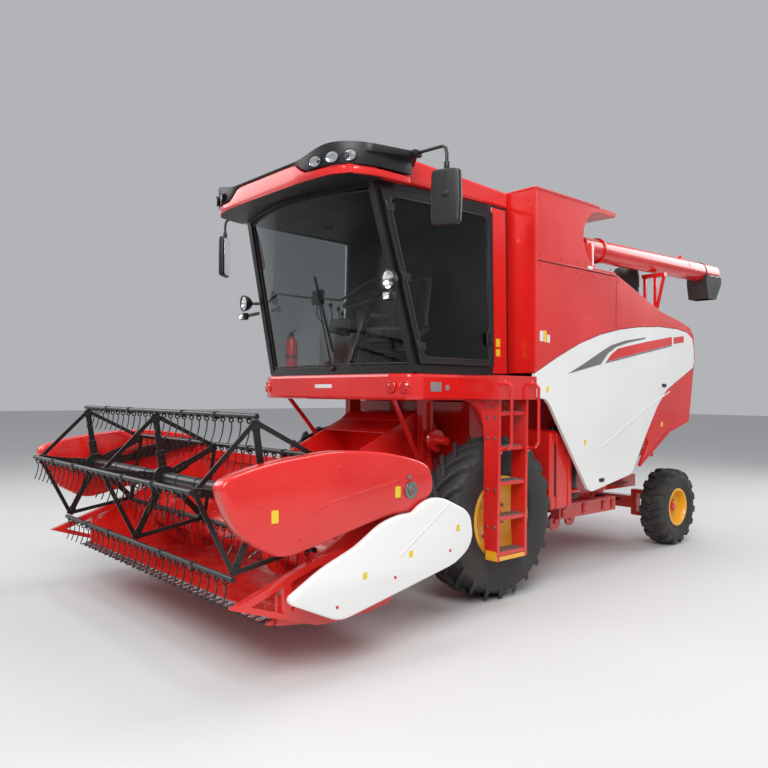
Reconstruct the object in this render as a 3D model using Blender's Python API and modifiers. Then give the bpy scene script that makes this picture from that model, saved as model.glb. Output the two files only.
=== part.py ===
"""Small self-propelled combine harvester with a 3 m grain header.

Metres, +Z up, +X to the machine's left, -Y the way it drives. The machine is laid out from its
front axle (y = 0 there) and moved at the end, so that its origin is on the ground under the
middle of its overall length.
"""
from math import cos, pi, radians, sin

import bmesh
import bpy
from mathutils import Matrix, Vector

# ---------------------------------------------------------------- general
GAP = 0.0003                 # between pieces that touch
CLEAR = 0.008                # between pieces that move past each other
TURN_STEPS = 28              # facets of a wheel

# ---------------------------------------------------------------- wheels and axles
WHEELBASE = 3.225
FRONT_TYRE_RADIUS = 0.665
FRONT_TYRE_WIDTH = 0.378
FRONT_RIM_RADIUS = 0.330
FRONT_WHEEL_X = 1.060
REAR_TYRE_RADIUS = 0.4225
REAR_TYRE_WIDTH = 0.290
REAR_RIM_RADIUS = 0.200
REAR_WHEEL_X = 0.981
KINGPIN_X = 0.700

# ---------------------------------------------------------------- chassis
RAIL_X = 0.500
RAIL_WIDTH = 0.080
RAIL_TOP_FRONT = 0.900
RAIL_TOP_MIDDLE = 0.640
RAIL_TOP_REAR = 0.740
RAIL_DEPTH = 0.140
RAIL_FRONT_Y = -0.260
RAIL_REAR_Y = 3.300

# ---------------------------------------------------------------- body
BODY_HALF_WIDTH = 1.250      # outside of the side panels
SKIN = 0.030                 # thickness of side panels and hoods
PANEL_GAP = 0.006
THRESHER_HALF_WIDTH = 0.760
THRESHER_FRONT_Y = 0.100
THRESHER_TOP = 1.840
TANK_FRONT_Y = 0.370
TANK_REAR_Y = 1.655
TANK_TOP = 3.443
HOOD_REAR_Y = 3.315
SIDE_PANEL_HINGE_Z = 2.420
AIR_INTAKE_PLACE = (0.780, 2.660)
INTAKE_PIPE_RADIUS = 0.060
INTAKE_BOWL_RADIUS = 0.140
INTAKE_BOWL_LOW = 2.780
INTAKE_TOP = 3.100

# ---------------------------------------------------------------- unloading auger
AUGER_X = 1.050
AUGER_Y = 1.370
AUGER_RADIUS = 0.110
AUGER_Z = 3.090
AUGER_LENGTH = 2.800
AUGER_RISE = 0.060
ELBOW_BASE_Z = 2.875
ELBOW_RADIUS = 0.120
ELBOW_ROOM = 0.270
AUGER_REST_Y = 2.750
SPOUT_HALF_WIDTH = 0.120
SPOUT_WALL = 0.020

# ---------------------------------------------------------------- cab
CAB_FLOOR = 1.830
PLATFORM_DEPTH = 0.210
PLATFORM_HALF_WIDTH = 1.050
PLATFORM_FRONT_Y = -0.930
CAB_REAR_Y = 0.340
CAB_HEAD = 3.300
PILLAR = 0.060
SILL = 0.070                 # height of the frame's bottom and top rails
A_PILLAR_FOOT = (0.985, -0.775)
A_PILLAR_HEAD = (0.865, -1.140)
C_PILLAR_FOOT = (0.985, 0.205)
C_PILLAR_HEAD = (0.955, 0.205)
C_PILLAR_DEPTH = 0.250
ROOF_TOP_REAR = 3.450
ROOF_TOP_MIDDLE = 3.500
ROOF_TOP_FRONT = 3.440
ROOF_FRONT_Y = -1.475
ROOF_BREAK_Y = -0.850        # where the roof starts to fall to the front
BROW_DEPTH = 0.055           # how far the front brow stands out from the roof
BROW_BOTTOM = 3.272
BROW_TOP = 3.335
BROW_CENTRE_TOP = 3.420
BROW_CENTRE_HALF = 0.430
BEACON_PAD = (-0.620, 0.060, 3.512)      # y, radius, top of the flat pad on the roof
ROOF_REAR_Y = 0.360
ROOF_HALF_WIDTH = 0.965
VISOR_WIDTH = 0.080
VISOR_STRIP_TOP = 3.447
VISOR_PEAK = 3.515
VISOR_SIDE_TOP = 3.500
VISOR_REAR_Y = -0.930
WING_TIP_X = 1.130
WING_BOTTOM = 3.425
GLASS = 0.008
SCREEN_BULGE_LOW = 0.090      # how far the windscreen bows out at its foot
SCREEN_BULGE_HIGH = 0.190     # and at its head
DOOR_THICKNESS = 0.022
DOOR_STAND_OFF = PILLAR / 2 + 0.016    # door's middle from the line of the pillars' middles
DOOR_LAP = 0.014             # how far the door laps over the posts
MIRROR_X = 1.540
MIRROR_Y = -1.030
MIRROR_Z = 3.040
MIRROR_HALF_WIDTH = 0.115
MIRROR_HALF_HEIGHT = 0.200

# ---------------------------------------------------------------- ladder
LADDER_FRONT_Y = -0.310
LADDER_WIDTH = 0.370
LADDER_INNER_X = 1.275
LADDER_OUTER_X = 1.425
LADDER_FOOT_Z = 0.380
LADDER_SHEET = 0.030
FIRST_STEP_Z = 0.420
STEP_PITCH = 0.272
LANDING_OUTER_X = 1.460

# ---------------------------------------------------------------- header (stored raised)
HEADER_PIVOT_Y = -0.200
HEADER_PIVOT_Z = 1.270
FEEDER_HALF_WIDTH = 0.440
FEEDER_END_RADIUS = 0.245
HEADER_HALF_WIDTH = 1.460    # inside of the end sheets
END_SHEET = 0.025
KNIFE_Y = -2.360
KNIFE_Z = 0.352
HEADER_BACK_Y = -1.385
TABLE_AUGER_Y = -1.680
TABLE_AUGER_Z = 0.560
BOWL_RADIUS = 0.275
TABLE_AUGER_TUBE = 0.125
DRIVE_COVER_OUTER_X = HEADER_HALF_WIDTH + 0.140
SHIELD_OUTER_X = DRIVE_COVER_OUTER_X + 0.060
SHIELD_THICKNESS = 0.050
DIVIDER_TIP_Y = -2.683
DIVIDER_THICKNESS = 0.045

# ---------------------------------------------------------------- reel
REEL_Y = -2.368
REEL_Z = 1.049
REEL_RADIUS = 0.491
REEL_HALF_LENGTH = HEADER_HALF_WIDTH - 0.075
REEL_BARS = 5
REEL_FIRST_BAR = radians(9)
REEL_TUBE_RADIUS = 0.045
REEL_LINK_INSET = 0.012        # ends of the links between arms, in from the arms' tips
TINE_BAR_RADIUS = 0.017
REEL_ARM_PIVOT_Y = -1.420
REEL_ARM_PIVOT_Z = 1.200
REEL_ARM_THICKNESS = 0.036

# ---------------------------------------------------------------- lift cylinders
CYLINDER_X = 0.250
CYLINDER_FOOT = (-0.330, 0.500)
CYLINDER_EYE = (-0.900, 0.600)
BARREL_RADIUS = 0.040
ROD_RADIUS = 0.020
ROD_STROKE_DOWN = 0.150      # what the rod goes in by, with its eye's own length

# ---------------------------------------------------------------- derived places
AUGER_END_Y = AUGER_Y + AUGER_LENGTH

COLOURS = {
    "red": ((0.80, 0.012, 0.010, 1), 0.28, 0.0),
    "white": ((0.88, 0.88, 0.86, 1), 0.30, 0.0),
    "black": ((0.012, 0.012, 0.013, 1), 0.42, 0.0),
    "dark_trim": ((0.025, 0.026, 0.028, 1), 0.55, 0.0),
    "rim_yellow": ((0.95, 0.42, 0.01, 1), 0.35, 0.0),
    "rubber": ((0.030, 0.030, 0.032, 1), 0.85, 0.0),
    "glass": ((0.05, 0.06, 0.06, 1), 0.05, 0.0),
    "bare_steel": ((0.45, 0.45, 0.46, 1), 0.30, 1.0),
    "grey_frame": ((0.12, 0.12, 0.13, 1), 0.50, 0.3),
    "seat_cloth": ((0.035, 0.036, 0.040, 1), 0.90, 0.0),
    "orange": ((0.85, 0.10, 0.01, 1), 0.40, 0.0),
}


def clear_scene():
    for item in list(bpy.data.objects):
        bpy.data.objects.remove(item, do_unlink=True)


def new_collection(name):
    collection = bpy.data.collections.new(name)
    bpy.context.scene.collection.children.link(collection)
    return collection


def make_materials():
    made = {}
    for name, (colour, roughness, metallic) in COLOURS.items():
        material = bpy.data.materials.new(name)
        material.use_nodes = True
        shader = material.node_tree.nodes["Principled BSDF"]
        shader.inputs["Base Color"].default_value = colour
        shader.inputs["Roughness"].default_value = roughness
        shader.inputs["Metallic"].default_value = metallic
        made[name] = material
    return made


clear_scene()
PARTS = new_collection("combine_harvester")
MATERIALS = make_materials()


# ---------------------------------------------------------------- modelling helpers
def object_from_bmesh(name, mesh_data, matrix=None):
    mesh = bpy.data.meshes.new(name)
    mesh_data.to_mesh(mesh)
    mesh_data.free()
    made = bpy.data.objects.new(name, mesh)
    PARTS.objects.link(made)
    if matrix is not None:
        made.matrix_world = matrix
    return made


def bake(item, name=None):
    """Turns a curve, or a mesh with modifiers, into a welded mesh in world coordinates."""
    bpy.context.view_layer.update()
    graph = bpy.context.evaluated_depsgraph_get()
    mesh = bpy.data.meshes.new_from_object(item.evaluated_get(graph))
    mesh.transform(item.matrix_world)
    welded = bmesh.new()
    welded.from_mesh(mesh)
    bmesh.ops.remove_doubles(welded, verts=welded.verts, dist=0.00002)
    bmesh.ops.recalc_face_normals(welded, faces=welded.faces)
    welded.to_mesh(mesh)
    welded.free()
    new_name = name or item.name
    bpy.data.objects.remove(item, do_unlink=True)
    made = bpy.data.objects.new(new_name, mesh)
    PARTS.objects.link(made)
    return made


def box(lo, hi, bevel=0.0, name="box"):
    low, high = Vector(lo), Vector(hi)
    size = high - low
    cube = bmesh.new()
    bmesh.ops.create_cube(cube, size=1.0)
    bmesh.ops.scale(cube, vec=size, verts=cube.verts)
    bmesh.ops.translate(cube, vec=(low + high) / 2, verts=cube.verts)
    made = object_from_bmesh(name, cube)
    return rounded_edges(made, bevel) if bevel else made


def rounded_edges(item, width, segments=1):
    bevel = item.modifiers.new("edges", "BEVEL")
    bevel.width = width
    bevel.segments = segments
    bevel.limit_method = "ANGLE"
    return bake(item)


def beam(start, end, width, height, name="beam", upright=(0, 0, 1)):
    """Box bar from start to end; height is measured the upright way."""
    first, last = Vector(start), Vector(end)
    along = (last - first).normalized()
    side = along.cross(Vector(upright)).normalized()
    top = side.cross(along)
    cube = bmesh.new()
    bmesh.ops.create_cube(cube, size=1.0)
    bmesh.ops.scale(cube, vec=((last - first).length, width, height), verts=cube.verts)
    turn = Matrix((along, side, top)).transposed().to_4x4()
    bmesh.ops.transform(cube, matrix=Matrix.Translation((first + last) / 2) @ turn, verts=cube.verts)
    bmesh.ops.recalc_face_normals(cube, faces=cube.faces)
    return object_from_bmesh(name, cube)


def cylinder(start, end, radius, steps=16, name="cylinder", end_radius=None):
    first, last = Vector(start), Vector(end)
    tip = radius if end_radius is None else end_radius
    rod = bmesh.new()
    bmesh.ops.create_cone(rod, cap_ends=True, segments=steps, radius1=radius, radius2=tip,
                          depth=(last - first).length)
    turn = Vector((0, 0, 1)).rotation_difference(last - first).to_matrix().to_4x4()
    bmesh.ops.transform(rod, matrix=Matrix.Translation((first + last) / 2) @ turn, verts=rod.verts)
    return object_from_bmesh(name, rod)


PLANES = {
    "X": Matrix(((0, 0, 1, 0), (1, 0, 0, 0), (0, 1, 0, 0), (0, 0, 0, 1))),
    "Y": Matrix(((1, 0, 0, 0), (0, 0, -1, 0), (0, 1, 0, 0), (0, 0, 0, 1))),
    "Z": Matrix.Identity(4),
}


def plate(outline, axis, low, high, name="plate", bevel=0.0):
    """Flat outline extruded along an axis: (y, z) points along X, (x, z) along Y, (x, y) along Z."""
    curve = bpy.data.curves.new(name, "CURVE")
    curve.dimensions = "2D"
    curve.fill_mode = "BOTH"
    curve.extrude = (high - low) / 2
    spline = curve.splines.new("POLY")
    spline.points.add(len(outline) - 1)
    for point, (first, second) in zip(spline.points, outline):
        point.co = (first, second, 0, 1)
    spline.use_cyclic_u = True
    made = bpy.data.objects.new(name, curve)
    PARTS.objects.link(made)
    centre = (low + high) / 2
    offset = {"X": (centre, 0, 0), "Y": (0, centre, 0), "Z": (0, 0, centre)}[axis]
    made.matrix_world = Matrix.Translation(offset) @ PLANES[axis]
    made = bake(made)
    return rounded_edges(made, bevel) if bevel else made


def tube(points, radius, name="tube", sides=2, cyclic=False):
    curve = bpy.data.curves.new(name, "CURVE")
    curve.dimensions = "3D"
    curve.bevel_depth = radius
    curve.bevel_resolution = sides
    curve.use_fill_caps = not cyclic
    spline = curve.splines.new("POLY")
    spline.points.add(len(points) - 1)
    for point, place in zip(spline.points, points):
        point.co = (*place, 1)
    spline.use_cyclic_u = cyclic
    made = bpy.data.objects.new(name, curve)
    PARTS.objects.link(made)
    return bake(made)


def turned(profile, steps, centre, name="turned", closed=False, side=1):
    """Profile of (radius, offset) turned about the X axis through centre; side flips the offset."""
    section = bmesh.new()
    verts = [section.verts.new((radius, 0, offset)) for radius, offset in profile]
    for first, second in zip(verts, verts[1:]):
        section.edges.new((first, second))
    if closed:
        section.edges.new((verts[-1], verts[0]))
    made = object_from_bmesh(name, section)
    screw = made.modifiers.new("turn", "SCREW")
    screw.steps = steps
    screw.render_steps = steps
    screw.use_merge_vertices = True
    screw.merge_threshold = 0.0001
    made.matrix_world = Matrix.Translation(centre) @ Matrix.Rotation(side * pi / 2, 4, "Y")
    return bake(made)


def boolean(target, tool, operation):
    change = target.modifiers.new(operation.lower(), "BOOLEAN")
    change.operation = operation
    change.solver = "EXACT"
    change.object = tool
    made = bake(target)
    bpy.data.objects.remove(tool, do_unlink=True)
    return made


def union(pieces):
    made = pieces[0]
    for piece in pieces[1:]:
        made = boolean(made, piece, "UNION")
    return made


def cut(target, tools):
    for tool in tools:
        target = boolean(target, tool, "DIFFERENCE")
    return target


def warp(item, place):
    """Moves every corner of a mesh to place(x, y, z)."""
    for vertex in item.data.vertices:
        vertex.co = place(*vertex.co)
    return item


def corner_arcs(points, radius, steps=3):
    """Rounds each corner of a closed outline with an arc."""
    result = []
    count = len(points)
    for index, corner in enumerate(points):
        here = Vector(corner)
        back = Vector(points[index - 1]) - here
        ahead = Vector(points[(index + 1) % count]) - here
        reach = min(radius, 0.45 * back.length, 0.45 * ahead.length)
        first = here + back.normalized() * reach
        last = here + ahead.normalized() * reach
        for step in range(steps + 1):
            part = step / steps
            result.append(tuple((1 - part) ** 2 * first + 2 * part * (1 - part) * here + part ** 2 * last))
    return result


def strip(points, thickness):
    """Closed outline of a bent sheet that follows points, with its thickness on their left."""
    offset = []
    for index, point in enumerate(points):
        here = Vector(point)
        back = (here - Vector(points[index - 1])).normalized() if index else None
        ahead = (Vector(points[index + 1]) - here).normalized() if index < len(points) - 1 else None
        way = (back or ahead) + (ahead or back)
        way.normalize()
        normal = Vector((-way.y, way.x))
        sharp = max(0.5, normal.dot(Vector((-(ahead or back).y, (ahead or back).x))))
        offset.append(tuple(here + normal * thickness / sharp))
    return list(points) + offset[::-1]


def arc(centre, radius, start, end, steps):
    """Points on an arc, with angles from the first axis towards the second."""
    turn = [start + (end - start) * step / steps for step in range(steps + 1)]
    return [(centre[0] + radius * cos(angle), centre[1] + radius * sin(angle)) for angle in turn]


def finish(item, name, colour):
    item.name = name
    item.data.name = name
    item.data.materials.clear()
    item.data.materials.append(MATERIALS[colour])
    item.data.shade_smooth()
    item.data.set_sharp_from_angle(angle=radians(35))
    return item


def axis_empty(name, place, parent=None):
    """Empty on a joint's axis, which carries the pieces that turn about it."""
    empty = bpy.data.objects.new(name, None)
    empty.empty_display_size = 0.15
    PARTS.objects.link(empty)
    empty.location = place
    bpy.context.view_layer.update()
    if parent is not None:
        carry(empty, parent)
    return empty


def carry(item, parent):
    bpy.context.view_layer.update()
    item.parent = parent
    item.matrix_parent_inverse = parent.matrix_world.inverted()


# ---------------------------------------------------------------- outlines used by several pieces
WHITE_TOP_EDGE = [(0.376, 1.852), (0.700, 2.000), (1.050, 2.140), (1.400, 2.245), (1.750, 2.315),
                  (2.100, 2.360), (2.500, 2.390), (2.900, 2.392), (3.120, 2.370)]
WHITE_REAR_EDGE = [(3.255, 2.310), (3.290, 2.200), (3.298, 2.060), (3.270, 1.985)]
WHITE_LOWER_EDGE = [(2.680, 1.735), (2.480, 1.560), (2.230, 1.250), (1.990, 0.920), (1.930, 0.885),
                    (1.260, 0.775), (1.190, 0.800), (0.600, 1.580), (0.540, 1.630), (0.376, 1.655)]
HOOD_TOP = [(2.530, 2.560), (3.000, 2.478), (3.200, 2.425), (3.285, 2.350)]
HOOD_REAR = [(HOOD_REAR_Y, 2.100), (3.180, 1.390)]
HOOD_LOWER = [(2.760, 1.285), (2.300, 1.040), (2.150, 0.958)]


def white_outline(grow=0.0):
    points = WHITE_TOP_EDGE + WHITE_REAR_EDGE + WHITE_LOWER_EDGE
    if not grow:
        return points
    result = []
    count = len(points)
    for index, point in enumerate(points):
        here = Vector(point)
        before = (here - Vector(points[index - 1])).normalized()
        after = (Vector(points[(index + 1) % count]) - here).normalized()
        way = (before + after).normalized()
        outward = Vector((-way.y, way.x))
        sharp = max(0.4, outward.dot(Vector((-after.y, after.x))))
        result.append(tuple(here + outward * grow / sharp))
    return result


# ---------------------------------------------------------------- wheels
def front_wheel(side, body_name):
    centre = (side * FRONT_WHEEL_X, 0, FRONT_TYRE_RADIUS)
    half = FRONT_TYRE_WIDTH / 2
    radius = FRONT_TYRE_RADIUS
    bead = FRONT_RIM_RADIUS + 0.003
    rim_half = half - 0.054
    carcass = [(radius - 0.030, half - 0.020), (radius, half - 0.065), (radius, 0.065 - half),
               (radius - 0.030, 0.020 - half), (radius - 0.140, -half), (bead + 0.060, 0.018 - half),
               (bead + 0.014, -rim_half), (bead, -rim_half), (bead, rim_half),
               (bead + 0.014, rim_half), (bead + 0.060, half - 0.018), (radius - 0.140, half)]
    tyre = finish(turned(carcass, TURN_STEPS + 4, centre, closed=True), f"front_tyre_{body_name}", "rubber")
    flange = rim_half + GAP
    seat = FRONT_RIM_RADIUS
    dish = [(0, 0.060), (0.085, 0.060), (0.110, 0.012), (0.230, 0.0), (0.285, 0.040),
            (seat - 0.022, flange + 0.014), (seat + 0.012, flange + 0.014), (seat + 0.012, flange),
            (seat, flange), (seat, -flange), (seat + 0.012, -flange),
            (seat + 0.012, -flange - 0.014), (seat - 0.022, -flange - 0.014), (0.290, -0.020),
            (0.230, -0.036), (0, -0.036)]
    rim = finish(turned(dish, TURN_STEPS, centre, side=side), f"front_rim_{body_name}", "rim_yellow")
    empty = axis_empty(f"front_wheel_{body_name}_axis", centre)
    carry(tyre, empty)
    carry(rim, empty)


def rear_wheel(side, body_name):
    centre = (side * REAR_WHEEL_X, WHEELBASE, REAR_TYRE_RADIUS)
    half = REAR_TYRE_WIDTH / 2
    radius = REAR_TYRE_RADIUS
    bead = REAR_RIM_RADIUS + 0.003
    rim_half = half - 0.030
    carcass = [(radius - 0.022, half - 0.014), (radius, half - 0.045), (radius, 0.045 - half),
               (radius - 0.022, 0.014 - half), (radius - 0.100, -half), (bead + 0.045, 0.010 - half),
               (bead + 0.012, -rim_half), (bead, -rim_half), (bead, rim_half),
               (bead + 0.012, rim_half), (bead + 0.045, half - 0.010), (radius - 0.100, half)]
    tyre = finish(turned(carcass, TURN_STEPS, centre, closed=True), f"rear_tyre_{body_name}", "rubber")
    flange = rim_half + GAP
    seat = REAR_RIM_RADIUS
    dish = [(0, 0.060), (0.055, 0.060), (0.070, 0.020), (0.140, 0.010), (0.165, 0.040),
            (seat - 0.018, flange + 0.010), (seat + 0.010, flange + 0.010), (seat + 0.010, flange),
            (seat, flange), (seat, -flange), (seat + 0.010, -flange),
            (seat + 0.010, -flange - 0.010), (seat - 0.018, -flange - 0.010), (0.168, -0.010),
            (0.140, -0.020), (0, -0.020)]
    rim = finish(turned(dish, TURN_STEPS - 4, centre, side=side), f"rear_rim_{body_name}", "rim_yellow")
    kingpin = axis_empty(f"rear_steer_{body_name}_axis", (side * KINGPIN_X, WHEELBASE, REAR_TYRE_RADIUS))
    empty = axis_empty(f"rear_wheel_{body_name}_axis", centre, kingpin)
    carry(tyre, empty)
    carry(rim, empty)
    spindle_end = side * (REAR_WHEEL_X - 0.020 - 0.0015)
    knuckle = union([
        cylinder((side * KINGPIN_X, WHEELBASE, REAR_TYRE_RADIUS - 0.105),
                 (side * KINGPIN_X, WHEELBASE, REAR_TYRE_RADIUS + 0.105), 0.034, 14),
        cylinder((side * (KINGPIN_X + 0.010), WHEELBASE, REAR_TYRE_RADIUS), (spindle_end, WHEELBASE,
                 REAR_TYRE_RADIUS), 0.032, 14),
        cylinder((side * (REAR_WHEEL_X - 0.060), WHEELBASE, REAR_TYRE_RADIUS), (spindle_end, WHEELBASE,
                 REAR_TYRE_RADIUS), 0.075, 14),
    ])
    carry(finish(knuckle, f"rear_knuckle_{body_name}", "red"), kingpin)


# ---------------------------------------------------------------- chassis
def chassis_frame():
    top = [(RAIL_FRONT_Y, RAIL_TOP_FRONT), (1.020, RAIL_TOP_FRONT), (1.230, RAIL_TOP_MIDDLE),
           (2.320, RAIL_TOP_MIDDLE), (2.450, RAIL_TOP_REAR), (RAIL_REAR_Y, RAIL_TOP_REAR)]
    bottom = [(RAIL_REAR_Y, RAIL_TOP_REAR - RAIL_DEPTH), (2.480, RAIL_TOP_REAR - RAIL_DEPTH),
              (2.350, RAIL_TOP_MIDDLE - RAIL_DEPTH), (1.170, RAIL_TOP_MIDDLE - RAIL_DEPTH),
              (0.960, RAIL_TOP_FRONT - RAIL_DEPTH), (RAIL_FRONT_Y, RAIL_TOP_FRONT - RAIL_DEPTH)]
    pieces = []
    inner = RAIL_X - RAIL_WIDTH / 2
    outer = RAIL_X + RAIL_WIDTH / 2
    for side in (-1, 1):
        low, high = sorted((side * inner, side * outer))
        pieces.append(plate(top + bottom, "X", low, high))
        post_low, post_high = sorted((side * (inner + 0.004), side * (outer - 0.004)))
        pieces.append(box((post_low, HEADER_PIVOT_Y - 0.055, RAIL_TOP_FRONT - 0.05),
                          (post_high, HEADER_PIVOT_Y + 0.075, CAB_FLOOR - PLATFORM_DEPTH - GAP)))
    for middle, top_z in ((0.300, RAIL_TOP_FRONT), (1.700, RAIL_TOP_MIDDLE), (3.225, RAIL_TOP_REAR)):
        pieces.append(box((-inner - 0.010, middle - 0.055, top_z - RAIL_DEPTH + 0.010),
                          (inner + 0.010, middle + 0.055, top_z - 0.010)))
    for side in (-1, 1):
        low, high = sorted((side * (outer - 0.010), side * 0.930))
        pieces.append(box((low, 1.300, 0.510), (high, 1.400, 0.600)))
        low, high = sorted((side * (outer - 0.012), side * 0.930))
        pieces.append(box((low, 1.950, 0.512), (high, 2.050, 0.598)))
        low, high = sorted((side * 0.850, side * 0.945))
        pieces.append(box((low, 1.180, 0.480), (high, 2.180, 0.618)))
    return finish(union(pieces), "chassis_frame", "red")


def drive_axle():
    reach = FRONT_WHEEL_X - 0.036 - 0.0015
    pieces = [
        cylinder((-reach, 0, FRONT_TYRE_RADIUS), (reach, 0, FRONT_TYRE_RADIUS), 0.070, 14),
        box((-0.240, -0.190, 0.440), (0.200, 0.190, 0.752), 0.03),
    ]
    for side in (-1, 1):
        pieces.append(cylinder((side * (reach - 0.045), 0, FRONT_TYRE_RADIUS),
                               (side * reach, 0, FRONT_TYRE_RADIUS), 0.115, 16))
        low, high = sorted((side * 0.620, side * 0.790))
        pieces.append(box((low, -0.120, 0.545), (high, 0.120, 0.7497), 0.02))
    cross = box((-0.330, CYLINDER_FOOT[0] + 0.050, 0.455), (0.330, -0.180, 0.545))
    pieces.append(cross)
    return finish(union(pieces), "drive_axle", "grey_frame")


def steer_axle():
    pieces = [
        box((-0.600, WHEELBASE - 0.060, 0.355), (0.600, WHEELBASE + 0.060, 0.490)),
        box((-0.110, WHEELBASE - 0.080, 0.380), (0.110, WHEELBASE + 0.080,
            RAIL_TOP_REAR - RAIL_DEPTH + 0.010 - GAP)),
    ]
    for side in (-1, 1):
        for low_z, high_z in ((REAR_TYRE_RADIUS - 0.150, REAR_TYRE_RADIUS - 0.1065),
                              (REAR_TYRE_RADIUS + 0.1065, REAR_TYRE_RADIUS + 0.150)):
            low, high = sorted((side * 0.560, side * (KINGPIN_X + 0.040)))
            pieces.append(box((low, WHEELBASE - 0.045, low_z), (high, WHEELBASE + 0.045, high_z)))
        low, high = sorted((side * 0.555, side * 0.620))
        pieces.append(box((low, WHEELBASE - 0.050, REAR_TYRE_RADIUS - 0.148),
                          (high, WHEELBASE + 0.050, REAR_TYRE_RADIUS + 0.148)))
    return finish(union(pieces), "steer_axle", "red")


# ---------------------------------------------------------------- body
def thresher_body():
    outline = [(THRESHER_FRONT_Y, 0.905), (THRESHER_FRONT_Y, 1.600), (0.345, 1.600),
               (0.420, THRESHER_TOP), (2.980, THRESHER_TOP), (3.080, 1.500), (3.000, 1.150),
               (2.500, 0.930), (2.300, 0.660), (1.320, 0.660), (1.080, 0.905)]
    body = plate(outline, "X", -THRESHER_HALF_WIDTH, THRESHER_HALF_WIDTH)
    return finish(body, "thresher_body", "red")


def fuel_tank():
    tank = box((THRESHER_HALF_WIDTH + GAP, 0.740, 0.640), (1.160, 1.080, 1.340), 0.02)
    return finish(tank, "fuel_tank", "red")


def engine():
    block = box((-0.480, 2.050, THRESHER_TOP + GAP), (0.420, 2.750, 2.400), 0.02)
    return finish(block, "engine", "grey_frame")


def frustum(low_z, high_z, low_rect, high_rect):
    """Four-sided funnel solid between two rectangles (x0, y0, x1, y1)."""
    solid = bmesh.new()
    bmesh.ops.create_cube(solid, size=2.0)
    for vertex in solid.verts:
        rect = high_rect if vertex.co.z > 0 else low_rect
        across = rect[2] if vertex.co.x > 0 else rect[0]
        along = rect[3] if vertex.co.y > 0 else rect[1]
        vertex.co = (across, along, high_z if vertex.co.z > 0 else low_z)
    return object_from_bmesh("funnel", solid)


def grain_tank():
    lower = [(y, z + PANEL_GAP) for y, z in WHITE_TOP_EDGE if y < TANK_REAR_Y]
    lower[0] = (TANK_FRONT_Y, lower[0][1])
    last_z = 2.315 - 0.07 * (1.750 - TANK_REAR_Y) / 0.35 + PANEL_GAP
    outline = lower + [(TANK_REAR_Y, last_z), (TANK_REAR_Y, TANK_TOP), (TANK_FRONT_Y, TANK_TOP)]
    tank = plate(outline, "X", -BODY_HALF_WIDTH, BODY_HALF_WIDTH)
    inside = BODY_HALF_WIDTH - SKIN
    rear = TANK_REAR_Y - SKIN
    front = TANK_FRONT_Y + SKIN
    funnel_top = 2.640
    funnel_foot = 2.020
    elbow_wall = AUGER_X - ELBOW_ROOM - SKIN
    tools = [
        box((-inside, front, funnel_top), (inside, AUGER_Y - ELBOW_ROOM - SKIN, TANK_TOP + 0.1)),
        box((-inside, front + 0.001, funnel_top), (elbow_wall, rear, TANK_TOP + 0.1)),
    ]
    funnel_high = funnel_top + 0.010
    narrow = (-0.300, 0.820, 0.300, 1.180)
    wide = (-inside, front, inside, rear)
    funnel = frustum(funnel_foot, funnel_high, narrow, wide)
    shelf = box((elbow_wall, AUGER_Y - ELBOW_ROOM - SKIN, funnel_foot - 0.1),
                (inside + 0.1, rear + 0.1, funnel_high + 0.1))
    tools.append(cut(funnel, [shelf]))
    wall = 0.040
    wide_out = (-inside - wall, front - wall, inside + wall, rear + wall)
    narrow_out = (narrow[0] - wall, narrow[1] - wall, narrow[2] + wall, narrow[3] + wall)
    outer_funnel = frustum(funnel_foot - wall, funnel_high, narrow_out, wide_out)
    below = box((-inside, front, 1.700), (inside, rear, funnel_top - 0.060))
    tools.append(cut(below, [outer_funnel]))
    tools += elbow_recess()
    return finish(cut(tank, tools), "grain_tank", "red")


def elbow_recess():
    inner = AUGER_X - ELBOW_ROOM
    outer = BODY_HALF_WIDTH + 0.1
    middle_z = ELBOW_BASE_Z - 0.015 + ELBOW_ROOM
    return [
        cylinder((inner, AUGER_Y, middle_z), (outer, AUGER_Y, middle_z), ELBOW_ROOM, 20),
        box((inner, AUGER_Y - ELBOW_RADIUS - 0.020, middle_z - ELBOW_ROOM),
            (outer, TANK_REAR_Y + 0.1, middle_z)),
        box((inner, AUGER_Y, middle_z - 0.010), (outer, TANK_REAR_Y + 0.1, middle_z + ELBOW_ROOM)),
    ]


def engine_hood():
    front = TANK_REAR_Y + GAP
    outer = [(front, 2.850)] + HOOD_TOP + HOOD_REAR + HOOD_LOWER + [(1.960, 0.860), (front, 0.860)]
    hood = plate(outer, "X", -BODY_HALF_WIDTH, BODY_HALF_WIDTH)
    inner = [(front - 0.1, 2.850 - SKIN + 0.033), (2.525, 2.560 - SKIN), (2.985, 2.478 - SKIN),
             (3.185, 2.425 - SKIN), (3.250, 2.335), (HOOD_REAR_Y - SKIN, 2.100), (3.085, 1.150),
             (3.085, 0.700), (front - 0.1, 0.700)]
    inside = BODY_HALF_WIDTH - SKIN
    tools = [plate(inner, "X", -inside, inside)]
    grown = white_outline(PANEL_GAP)
    far = BODY_HALF_WIDTH + 0.1
    tools.append(plate(grown, "X", inside - 0.1, far))
    tools.append(plate(grown, "X", -far, 0.1 - inside))
    tail = [(front - 0.1, 0.8), (2.14, 0.8), (2.14, 0.975), (2.30, 1.19), (2.2, 1.3), (front - 0.1, 1.3)]
    tools.append(plate(tail, "X", inside - 0.1, far))
    tools.append(plate(tail, "X", -far, 0.1 - inside))
    hood = cut(hood, tools)
    return finish(union([hood] + auger_rest()), "engine_hood", "red")


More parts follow.
